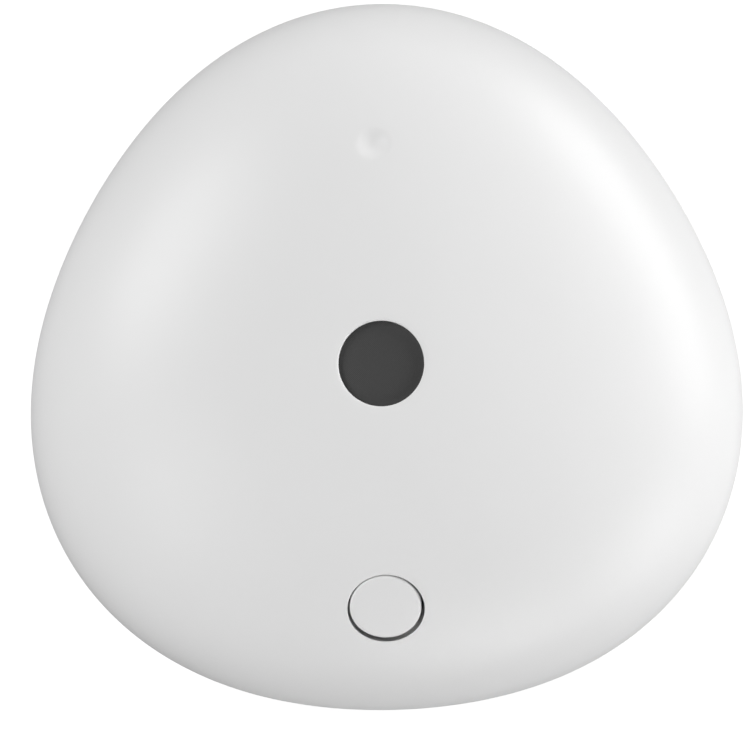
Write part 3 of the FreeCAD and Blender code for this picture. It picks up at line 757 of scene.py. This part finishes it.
def rounded(corner: tuple[float, float], radius: float, start: float, end: float, steps: int) -> Profile:
    """Points of a rounded corner of a profile.

    Args:
        corner: Centre of the arc.
        radius: Radius of the arc.
        start: Angle of its first point in degrees.
        end: Angle of its last point in degrees.
        steps: Number of steps.

    Returns:
        Radius and height of each point.
    """
    points = []
    for step in range(steps + 1):
        angle = math.radians(start + (end - start) * step / steps)
        points.append((corner[0] + radius * math.cos(angle), corner[1] + radius * math.sin(angle)))
    return points


def on_circle(radius: float, degrees: float) -> Vector:
    """Point on a circle round Z, at an angle from +X in degrees."""
    return Vector((radius * math.cos(math.radians(degrees)), radius * math.sin(math.radians(degrees)), 0.0))


def finished(bm: BMesh, name: str, body: Body, node: str, slot: str) -> Object:
    """Turns a bmesh into a shaded piece of the alarm.

    Args:
        bm: Mesh, in the object's frame.
        name: Name of the piece.
        body: Body that it rides on.
        node: CAD node that it stands for.
        slot: Material slot that it takes its finish from.

    Returns:
        The new object.
    """
    bmesh.ops.remove_doubles(bm, verts=bm.verts, dist=WELD)
    bmesh.ops.recalc_face_normals(bm, faces=bm.faces)
    mesh = bpy.data.meshes.new(name)
    bm.to_mesh(mesh)
    bm.free()
    mesh.polygons.foreach_set("use_smooth", [True] * len(mesh.polygons))
    mesh.set_sharp_from_angle(angle=math.radians(SHARP_DEGREES))
    mesh.materials.append(material_of(slot))
    piece = placed(name, mesh)
    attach(piece, body.value)
    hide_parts(node)
    LOG.info("%s: %d faces on %s", name, len(mesh.polygons), body.value)
    return piece


# Casing


@dataclass
class FrontCover:
    """Domed shell with the port, the button's hole, the dimple and its inner fittings."""

    form: CasingForm
    seat: ButtonSeat
    boss_foot_z: float
    wall: float = 2.2 * MM
    port_radius: float = 6.5 * MM
    port_round: float = 0.3 * MM
    mesh_seat_radius: float = 8.6 * MM
    mesh_seat_z: float = 41.0 * MM
    lobed_radius: float = 20.0 * MM
    rim_round: float = 0.25 * MM
    hole_round: float = 0.12 * MM
    lip_depth: float = 0.1 * MM
    relief: float = 0.7 * MM
    relief_foot: float = 3.4 * MM
    relief_end: float = 4.2 * MM
    dimple_x: float = -0.42 * MM
    dimple_y: float = 33.8 * MM
    dimple_radius: float = 3.0 * MM
    dimple_depth: float = 0.58 * MM
    boss_circle: float = 45.5 * MM
    boss_radius: float = 3.5 * MM
    screw_radius: float = 1.55 * MM
    boss_short: float = 1.5 * MM
    pillar_radius: float = 2.7 * MM
    pillar_hole: float = 1.15 * MM
    pillar_foot_z: float = 32.8 * MM
    pillar_circle: float = 18.6 * MM
    root_share: float = 0.3
    around: int = 320
    dome_steps: int = 100
    inner_steps: int = 44
    curl_steps: int = 9
    lip_steps: int = 4
    smoothings: int = 6
    bm: BMesh = field(default_factory=bmesh.new)

    def build(self) -> None:
        """Builds and places the cover."""
        shell = spun(self.bm, self.profile(), self.around)
        self.form.swell_out(shell, self.mesh_seat_radius, self.lobed_radius)
        self.open_button_hole()
        self.press_dimple()
        self.add_bosses()
        finished(self.bm, "front_cover_shell", Body.ALARM, "front_cover", "cover_white")

    def profile(self) -> Profile:
        """Closed meridian of the shell.

        Returns:
            Radius and height of each point, from the mesh seat outwards over the dome and back inside.
        """
        form = self.form
        mouth = self.port_radius + self.port_round
        mouth_z = form.height(mouth, 0.0)
        points = [(self.mesh_seat_radius, self.mesh_seat_z), (self.port_radius, self.mesh_seat_z)]
        points += rounded((mouth, mouth_z - self.port_round), self.port_round, 180.0, 90.0, 5)[:-1]
        points += form.meridian(mouth, self.dome_steps)
        curl_height = form.widest_z - form.rim_z
        for step in range(1, self.curl_steps):
            turn = math.radians(90.0 * step / self.curl_steps)
            points.append((form.mean_radius - form.curl_inset * (1.0 - math.cos(turn)),
                           form.widest_z - curl_height * math.sin(turn)))
        outer = form.mean_radius - form.curl_inset
        corner = (outer - self.rim_round, form.rim_z + self.rim_round)
        points += rounded(corner, self.rim_round, 0.0, -90.0, 3)
        inner = form.mean_radius - self.wall
        points += [(inner, form.rim_z), (inner, (form.rim_z + form.widest_z) / 2.0)]
        points += reversed(form.meridian(self.mesh_seat_radius, self.inner_steps, self.wall))
        return points

    def near_axis(self, radius: float, inner: bool) -> list[BMFace]:
        """Faces of one skin that lie near the button's axis.

        Args:
            radius: How far away, on the scale of the oval's width.
            inner: Whether the inner skin is meant.

        Returns:
            The faces.
        """
        into = self.seat.matrix().inverted()
        deepest = -6.0 * MM
        found = []
        for face in self.bm.faces:
            centre = face.calc_center_median()
            local = into @ centre
            if self.seat.away(local) > radius or local.z < deepest:
                continue
            below = self.form.height(centre.x, centre.y) - centre.z
            if (below > self.wall / 2.0) == inner:
                found.append(face)
        return found

    def refine(self, faces: list[BMFace]) -> None:
        """Halves the edges of some faces."""
        edges = list({edge for face in faces for edge in face.edges})
        bmesh.ops.subdivide_edges(self.bm, edges=edges, cuts=1, use_grid_fill=True)

    def cut_oval(self, radius: float, inset: float) -> list[BMEdge]:
        """Cuts an oval opening into one skin.

        Args:
            radius: Half the width of the opening.
            inset: Distance of the skin inside the outer one.

        Returns:
            The edges of the opening.
        """
        matrix = self.seat.matrix()
        into = matrix.inverted()
        inner = inset > 0.0
        fine, cut, edge_zone, smooth = (radius + more * MM for more in (3.0, 0.08, 1.5, 2.0))
        self.refine(self.near_axis(fine, inner))
        bmesh.ops.delete(self.bm, geom=self.near_axis(cut, inner), context="FACES")
        region = self.near_axis(fine, inner)
        away = {vert: self.seat.away(into @ vert.co) for face in region for vert in face.verts}
        rim_edges = list({edge for face in region for edge in face.edges
                          if edge.is_boundary and all(away[vert] < edge_zone for vert in edge.verts)})
        rim = {vert for edge in rim_edges for vert in edge.verts}
        for vert in rim:
            local = into @ vert.co
            vert.co = matrix @ self.seat.on_ring(local, radius, local.z)
        around = [vert for vert in away if vert not in rim]
        free = [vert for vert in around if away[vert] < smooth]
        for _ in range(self.smoothings):
            bmesh.ops.smooth_vert(self.bm, verts=free, factor=0.5, use_axis_x=True, use_axis_y=True,
                                  use_axis_z=True)
        axis = self.seat.axis()
        for vert in (*rim, *around):
            vert.co = self.form.onto(vert.co, axis, inset)
        return rim_edges

    def pull(self, edges: list[BMEdge], radius: float, drop: float = 0.0,
             level: float | None = None) -> list[BMEdge]:
        """Extrudes a ring of edges and moves the new ring in the button's frame.

        Args:
            edges: Ring of edges.
            radius: Half the width of the new ring.
            drop: How far each point of it goes down.
            level: Height of all its points, in place of a drop.

        Returns:
            The new ring of edges.
        """
        matrix = self.seat.matrix()
        into = matrix.inverted()
        made = bmesh.ops.extrude_edge_only(self.bm, edges=edges)["geom"]
        verts = {item for item in made if isinstance(item, BMVert)}
        for vert in verts:
            local = into @ vert.co
            vert.co = matrix @ self.seat.on_ring(local, radius, local.z - drop if level is None else level)
        return [item for item in made if isinstance(item, BMEdge)
                and item.verts[0] in verts and item.verts[1] in verts]

    def open_button_hole(self) -> None:
        """Cuts the button's hole with its rounded lip, the relief behind the lip and the collar below."""
        hole = self.seat.hole_radius
        relief = hole + self.relief
        collar = hole + self.seat.guide_wall
        depth = self.seat.collar_depth
        outer_ring = self.cut_oval(hole + self.hole_round, 0.0)
        inner_ring = self.cut_oval(collar, self.wall)
        for step in range(1, self.lip_steps + 1):
            before, now = (math.radians(90.0 * (step - back) / self.lip_steps) for back in (1, 0))
            drop = self.hole_round * (math.cos(before) - math.cos(now))
            outer_ring = self.pull(outer_ring, hole + self.hole_round * (1.0 - math.sin(now)), drop)
        for radius in (hole, relief):
            outer_ring = self.pull(outer_ring, radius, self.lip_depth)
        for radius, foot in ((relief, self.relief_foot), (hole, self.relief_end), (hole, depth)):
            outer_ring = self.pull(outer_ring, radius, level=-foot)
        inner_ring = self.pull(inner_ring, collar, level=-depth)
        bmesh.ops.bridge_loops(self.bm, edges=outer_ring + inner_ring)

    def press_dimple(self) -> None:
        """Presses the indicator's shallow, soft-edged dimple into the outer skin."""
        middle = Vector((self.dimple_x, self.dimple_y, self.form.height(self.dimple_x, self.dimple_y)))
        fine, settled = (self.dimple_radius + more * MM for more in (1.2, 2.2))
        self.refine([face for face in self.bm.faces if (face.calc_center_median() - middle).length < fine])
        normal = self.form.normal(self.dimple_x, self.dimple_y)
        for vert in self.bm.verts:
            if (vert.co - middle).length > settled:
                continue
            if vert.co.z < self.form.height(vert.co.x, vert.co.y) - self.wall / 2.0:
                continue
            vert.co = self.form.onto(vert.co, normal)
            offset = vert.co - middle
            share = min(1.0, (offset - normal * offset.dot(normal)).length / self.dimple_radius)
            vert.co -= normal * self.dimple_depth * (1.0 - share ** 2) ** 2

    def add_bosses(self) -> None:
        """Adds the screw bosses and the sounder's pillars under the dome."""
        bosses = (self.boss_circle, 90.0, self.boss_radius, self.screw_radius, self.boss_foot_z)
        pillars = (self.pillar_circle, 30.0, self.pillar_radius, self.pillar_hole, self.pillar_foot_z)
        for (circle, first, outer, bore, foot), short in ((bosses, self.boss_short), (pillars, 0.0)):
            for turn in (0.0, 120.0, 240.0):
                place = on_circle(circle, first + turn)
                top = self.form.height(place.x, place.y, self.wall) + self.wall * self.root_share
                tube(self.bm, outer, bore, foot, top - short, place)


@dataclass
class SounderMesh:
    """Dark woven disc seated behind the port."""

    radius: float = 8.4 * MM
    low: float = 40.6 * MM
    high: float = 41.0 * MM
    edge: float = 0.12 * MM
    ring_shares: tuple[float, ...] = (0.15, 0.35, 0.55, 0.75, 0.9)
    around: int = 96

    def build(self) -> None:
        """Builds and places the mesh disc."""
        bm = bmesh.new()
        rings = [self.radius * share for share in self.ring_shares]
        profile = [(0.0, self.high)] + [(ring, self.high) for ring in rings]
        profile += rounded((self.radius - self.edge, self.high - self.edge), self.edge, 90.0, 0.0, 3)
        profile += rounded((self.radius - self.edge, self.low + self.edge), self.edge, 0.0, -90.0, 3)
        profile += [(ring, self.low) for ring in reversed(rings)] + [(0.0, self.low)]
        spun(bm, profile, self.around, closed=False)
        finished(bm, "sounder_mesh_cloth", Body.ALARM, "sounder_mesh", "mesh_dark")


@dataclass
class TestButton:
    """Round push button whose crown follows the dome."""

    form: CasingForm
    seat: ButtonSeat
    plunger_top_z: float
    plunger_gap: float = 0.2 * MM
    radius: float = 5.46 * MM
    edge: float = 0.35 * MM
    lean: tuple[float, float] = (-0.51 * MM, 0.27 * MM)
    band: float = 1.2 * MM
    skirt: float = 4.6 * MM
    crown: float = 1.8 * MM
    skirt_wall: float = 1.0 * MM
    chamfer: float = 0.2 * MM
    stem_radius: float = 2.5 * MM
    crown_rings: int = 10
    around: int = 112

    @property
    def stem_tip_z(self) -> float:
        """Height of the stem's tip, just above the switch's plunger."""
        return self.plunger_top_z + self.plunger_gap

    def build(self) -> None:
        """Builds and places the button."""
        bm = bmesh.new()
        matrix = self.seat.matrix()
        reach = (matrix.translation.z - self.stem_tip_z) / self.seat.axis().z
        verts = spun(bm, self.profile(reach), self.around, closed=False)
        for vert in verts:
            self.settle(vert)
            self.follow_dome(vert, matrix, reach)
        bmesh.ops.transform(bm, matrix=matrix, verts=verts)
        finished(bm, "test_button_cap", Body.BUTTON, "test_button", "button_white")

    def profile(self, reach: float) -> Profile:
        """Open meridian of the button.

        Args:
            reach: Length of the stem along the axis.

        Returns:
            Radius and height of each point, from the crown's middle over the skirt to the stem's tip.
        """
        crown_radius = self.radius - self.edge
        pocket = self.radius - self.skirt_wall
        points = [(crown_radius * ring / self.crown_rings, 0.0) for ring in range(self.crown_rings)]
        points += rounded((crown_radius, -self.edge), self.edge, 90.0, 0.0, 5)
        points += [(self.radius, -self.band), (self.radius, -self.skirt + self.chamfer)]
        points += [(self.radius - self.chamfer, -self.skirt), (pocket, -self.skirt)]
        points += [(pocket, -self.crown - self.chamfer), (pocket - self.chamfer, -self.crown)]
        points += [(self.stem_radius, -self.crown), (self.stem_radius, -reach)]
        return points + [(self.stem_radius / 2.0, -reach), (0.0, -reach)]

    def settle(self, vert: BMVert) -> None:
        """Makes the cap oval like its hole, and leans it against one side of the hole's clearance.

        Args:
            vert: Vertex in the button's frame.
        """
        if math.hypot(vert.co.x, vert.co.y) > self.stem_radius + NEAR:
            vert.co.x += self.lean[0]
            vert.co.y = vert.co.y * self.seat.squeeze + self.lean[1]

    def follow_dome(self, vert: BMVert, matrix: Matrix, reach: float) -> None:
        """Moves a vertex of the crown onto the dome, or one of the stem's tip onto a level plane.

        Args:
            vert: Vertex in the button's frame.
            matrix: Placement of the button's frame.
            reach: Length of the stem along the axis.
        """
        if vert.co.z > -self.edge - NEAR:
            flat = Vector((vert.co.x, vert.co.y, 0.0))
            vert.co.z += (matrix.inverted() @ self.form.onto(matrix @ flat, self.seat.axis())).z
        elif vert.co.z < -reach + NEAR:
            level = (matrix @ Vector((vert.co.x, vert.co.y, -reach))).z
            vert.co.z += (self.stem_tip_z - level) / self.seat.axis().z


# Everything else in the frame


@dataclass(frozen=True)
class EasedNode:
    """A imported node's form with the small edge roundings that its making leaves."""

    node: str
    rounding: float
    steps: int = 2
    weld: float = 0.002 * MM
    level: float = 0.4
    sharp: float = 28.0

    def build(self, source: Object, slot: str) -> None:
        """Builds and places the piece.

        Args:
            source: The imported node, which stays as it is.
            slot: Material slot of the node.
        """
        bm = bmesh.new()
        bm.from_mesh(source.data)
        bmesh.ops.remove_doubles(bm, verts=bm.verts, dist=self.weld)
        bmesh.ops.dissolve_limit(bm, angle_limit=math.radians(self.level), verts=bm.verts, edges=bm.edges,
                                 use_dissolve_boundaries=False)
        limit = math.radians(self.sharp)
        edges = [edge for edge in bm.edges if len(edge.link_faces) == 2 and edge.calc_face_angle() > limit]
        bmesh.ops.bevel(bm, geom=edges, offset=self.rounding, offset_type="OFFSET", affect="EDGES",
                        segments=self.steps, profile=0.5, material=-1, clamp_overlap=True)
        piece = finished(bm, f"{self.node}_eased", Body(body_of(source)[0]), self.node, slot)
        piece.modifiers.new("level faces", "WEIGHTED_NORMAL").keep_sharp = True


@dataclass
class Inventory:
    """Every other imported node: eased where it has a rounding, else carried over."""

    roundings: dict[str, float]

    def dress(self, frame: dict, replaced: set[str]) -> None:
        """Builds or dresses the nodes in the frame's order.

        Args:
            frame: The loaded frame.
            replaced: Nodes that a new piece stands for already.
        """
        for name, node in frame["nodes"].items():
            if name in replaced:
                continue
            holder = node.material_slots[0]
            slot = holder.material.name.split(".")[0]
            if name in self.roundings:
                EasedNode(name, self.roundings[name]).build(node, slot)
            else:
                holder.material = material_of(slot)
                LOG.info("%s: carried over as %s", name, holder.material.name)


# Studio


@dataclass(frozen=True)
class Lamp:
    """One soft round lamp that looks at the middle of the alarm, its direction in degrees."""

    side: LampSide
    azimuth: float
    elevation: float
    power: float
    size: float = 0.5
    distance: float = 0.9

    def build(self, target: Vector) -> None:
        """Hangs the lamp.

        Args:
            target: Point that it looks at.
        """
        data = bpy.data.lights.new(f"lamp_{self.side.value}", "AREA")
        data.shape = "DISK"
        data.size = self.size
        data.energy = self.power
        rise = math.radians(self.elevation)
        toward = on_circle(math.cos(rise), self.azimuth) + Vector((0.0, 0.0, math.sin(rise)))
        lamp = placed(data.name, data)
        lamp.location = target + toward * self.distance
        lamp.rotation_euler = toward.to_track_quat("Z", "Y").to_euler()


@dataclass
class Studio:
    """Pale floor, soft lamps and the camera of the photograph's view."""

    lamps: tuple[Lamp, ...] = (
        Lamp(LampSide.RIGHT, 11.6, 11.3, 3.4),
        Lamp(LampSide.UPPER_RIGHT, 41.5, 10.0, 4.2),
        Lamp(LampSide.TOP, 75.0, 12.0, 0.5),
        Lamp(LampSide.UPPER_LEFT, 148.8, 35.4, 4.7),
        Lamp(LampSide.LOWER_LEFT, 204.3, 47.7, 2.2),
        Lamp(LampSide.LOWER, 285.3, 18.2, 2.6),
        Lamp(LampSide.LOWER_RIGHT, 325.0, 16.0, 2.5),
        Lamp(LampSide.BELOW, 120.0, -72.0, 5.0),
    )
    ambient: float = 0.06
    floor_half: float = 3.0
    gap: float = 0.1 * MM
    paper: tuple[float, float] = (0.29, 0.31)
    seen_paper: float = 0.35
    seen_glow: float = 0.80
    distance: float = 1.0
    focal_px: float = 6462.0
    photo_px: float = 750.0
    sensor: float = 36.0
    far: float = 10.0
    tilt_x: float = 2.56
    tilt_y: float = 1.37
    roll: float = -1.55
    target: tuple[float, float, float] = (-1.51 * MM, -0.76 * MM, 20.0 * MM)

    def build(self) -> None:
        """Sets up floor, world, lamps, camera and view settings."""
        self.add_floor()
        self.light_world()
        for lamp in self.lamps:
            lamp.build(Vector((0.0, 0.0, self.target[2])))
        self.add_camera()
        bpy.context.scene.view_settings.view_transform = "Standard"

    def add_floor(self) -> None:
        """Lays the pale floor just under the mounting plate."""
        bm = bmesh.new()
        bmesh.ops.create_grid(bm, x_segments=1, y_segments=1, size=self.floor_half)
        bmesh.ops.translate(bm, verts=bm.verts, vec=(0.0, 0.0, -self.gap))
        mesh = bpy.data.meshes.new("floor")
        bm.to_mesh(mesh)
        bm.free()
        mesh.materials.append(self.floor_material())
        placed("floor", mesh)

    def floor_material(self) -> Material:
        """Paper that looks white and keeps the shadow, but is clear from below and close to the object.

        Returns:
            The material.
        """
        sketch = MaterialSketch("floor_paper")
        fibre = sketch.noise(0.8 * MM, 3.0)
        dark, light = ((grey, grey, grey) for grey in self.paper)
        sketch.set(Base_Color=sketch.blend(fibre, dark, light), Roughness=0.9, Specular_IOR_Level=0.0)
        grey = (self.seen_paper, self.seen_paper, self.seen_paper, 1.0)
        glow = sketch.add("ShaderNodeEmission", Strength=self.seen_glow).outputs[0]
        both = sketch.join("ShaderNodeAddShader", sketch.join("ShaderNodeBsdfDiffuse", grey), glow)
        seen = sketch.seeing_rays("Is Transmission Ray")
        paper = sketch.join("ShaderNodeMixShader", seen, sketch.shader.outputs[0], both)
        length = sketch.add("ShaderNodeLightPath").outputs["Ray Length"]
        behind = sketch.add("ShaderNodeNewGeometry").outputs["Backfacing"]
        passed = sketch.math("MAXIMUM", sketch.math("LESS_THAN", length, self.gap * 2.0), behind)
        whole = sketch.join("ShaderNodeMixShader", passed, paper, sketch.join("ShaderNodeBsdfTransparent"))
        sketch.feed(sketch.tree.nodes["Material Output"].inputs["Surface"], whole)
        return sketch.material

    def light_world(self) -> None:
        """Soft ambient light, with a pale background where the camera looks past the floor."""
        world = bpy.data.worlds.new("studio")
        bpy.context.scene.world = world
        world.use_nodes = True
        sketch = NodeSketch(world.node_tree)
        soft = sketch.tree.nodes["Background"]
        sketch.feed(soft.inputs["Strength"], self.ambient)
        sketch.feed(soft.inputs["Color"], (1.0, 1.0, 1.0, 1.0))
        pale = sketch.join("ShaderNodeBackground", (0.8, 0.8, 0.8, 1.0), 1.0)
        seen = sketch.seeing_rays("Is Glossy Ray", "Is Transmission Ray")
        whole = sketch.join("ShaderNodeMixShader", seen, soft.outputs[0], pale)
        sketch.feed(sketch.tree.nodes["World Output"].inputs["Surface"], whole)

    def add_camera(self) -> None:
        """Hangs the camera over the alarm, at the photograph's viewing angle."""
        tilt_x, tilt_y, roll = (math.radians(angle) for angle in (self.tilt_x, self.tilt_y, self.roll))
        level = math.cos(tilt_y)
        back = Vector((math.sin(tilt_y), -math.sin(tilt_x) * level, math.cos(tilt_x) * level))
        right = Vector((0.0, 1.0, 0.0)).cross(back).normalized()
        up = back.cross(right)
        turn = Matrix.Rotation(roll, 3, back)
        basis = Matrix((turn @ right, turn @ up, back)).transposed().to_4x4()
        data = bpy.data.cameras.new("camera")
        data.lens = self.focal_px / self.photo_px * self.sensor
        data.sensor_width = self.sensor
        data.clip_end = self.far
        camera = placed("camera", data)
        camera.matrix_world = Matrix.Translation(Vector(self.target) + back * self.distance) @ basis
        bpy.context.scene.camera = camera


FINISHES: dict[str, Finish] = {
    "plate_white": MouldedPlastic("plate_plastic", (0.78, 0.78, 0.77), 0.5),
    "housing_white": MouldedPlastic("housing_plastic", (0.80, 0.80, 0.795), 0.45),
    "grille_white": MouldedPlastic("grille_plastic", (0.76, 0.76, 0.755), 0.5),
    "cover_white": MouldedPlastic("cover_plastic", (0.80, 0.80, 0.80), 0.42, mottle=0.006, gloss=0.5),
    "button_white": MouldedPlastic("button_plastic", (0.80, 0.80, 0.80), 0.40, mottle=0.006, gloss=0.5),
    "guide_white": MouldedPlastic("guide_plastic", (0.74, 0.74, 0.72), 0.5),
    "plunger_plastic": MouldedPlastic("plunger_plastic", (0.62, 0.58, 0.5), 0.4),
    "switch_black": MouldedPlastic("switch_plastic", (0.02, 0.02, 0.022), 0.45),
    "chip_black": MouldedPlastic("chip_epoxy", (0.016, 0.016, 0.018), 0.55, relief=0.004 * MM,
                                 grain=0.12 * MM),
    "chamber_black": MouldedPlastic("chamber_plastic", (0.014, 0.014, 0.015), 0.6, relief=0.006 * MM),
    "horn_grey": MouldedPlastic("horn_plastic", (0.18, 0.18, 0.19), 0.5),
    "piezo_ceramic": MouldedPlastic("silvered_ceramic", (0.72, 0.71, 0.68), 0.35, mottle=0.08,
                                    grain=0.2 * MM),
    "led_package": MouldedPlastic("led_package", (0.82, 0.81, 0.76), 0.3),
    "screw_steel": PlatedMetal("screw_zinc", (0.62, 0.63, 0.64)),
    "spring_steel": PlatedMetal("spring_steel", (0.5, 0.51, 0.52), 0.22),
    "contact_nickel": PlatedMetal("contact_nickel", (0.66, 0.64, 0.6), 0.25),
    "screen_steel": PlatedMetal("screen_steel", (0.45, 0.45, 0.46), 0.35),
    "piezo_brass": PlatedMetal("piezo_brass", (0.72, 0.52, 0.22), 0.3),
    "pipe_clear": ClearResin("pipe_acrylic", (0.95, 0.96, 0.97)),
    "sensor_clear": ClearResin("emitter_epoxy", (0.75, 0.82, 0.95)),
    "sensor_dark": ClearResin("detector_epoxy", (0.08, 0.04, 0.06)),
    "mesh_dark": WovenMesh("mesh_cloth", (0.050, 0.050, 0.050)),
    "board_green": SolderMask("board_mask"),
    "gasket_foam": Foam("gasket_foam", (0.05, 0.05, 0.055)),
    "cell_sleeve": BandedSleeve("cell_sleeve", (0.05, 0.055, 0.06), (0.62, 0.36, 0.12), "Y", 9.0 * MM),
    "capacitor_sleeve": BandedSleeve("capacitor_sleeve", (0.02, 0.025, 0.05), (0.55, 0.56, 0.58),
                                     "X", 33.6 * MM),
    "coil_ferrite": CopperWinding("coil_winding", (0.03, 0.03, 0.032), (0.55, 0.2, 0.07),
                                  12.2 * MM, 19.8 * MM),
}

ROUNDINGS: dict[str, float] = {
    "mounting_plate": 0.3 * MM,
    "rear_housing": 0.25 * MM,
    "vent_grille": 0.18 * MM,
    "cover_screws": 0.12 * MM,
    "board_screws": 0.1 * MM,
    "sounder_screws": 0.1 * MM,
    "circuit_board": 0.08 * MM,
    "controller": 0.05 * MM,
    "capacitor": 0.25 * MM,
    "sounder_coil": 0.15 * MM,
    "battery": 0.35 * MM,
    "battery_contact_positive": 0.08 * MM,
    "chamber_base": 0.12 * MM,
    "chamber_cap": 0.2 * MM,
    "sounder_horn": 0.2 * MM,
    "sounder_clamp": 0.2 * MM,
    "button_guide": 0.15 * MM,
    "button_clip": 0.08 * MM,
    "tact_switch": 0.1 * MM,
}


def main() -> None:
    logging.basicConfig(level=logging.INFO, format="%(name)s %(message)s")
    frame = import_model()

    cover_low, cover_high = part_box("front_cover")
    plunger_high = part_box("switch_plunger")[1]
    form = CasingForm.inside(cover_low, cover_high)
    seat = ButtonSeat(form)

    FrontCover(form, seat, cover_low.z).build()
    SounderMesh().build()
    TestButton(form, seat, plunger_high.z).build()
    Inventory(ROUNDINGS).dress(frame, {"front_cover", "sounder_mesh", "test_button"})
    Studio().build()

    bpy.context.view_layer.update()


if __name__ == "__main__":
    main()
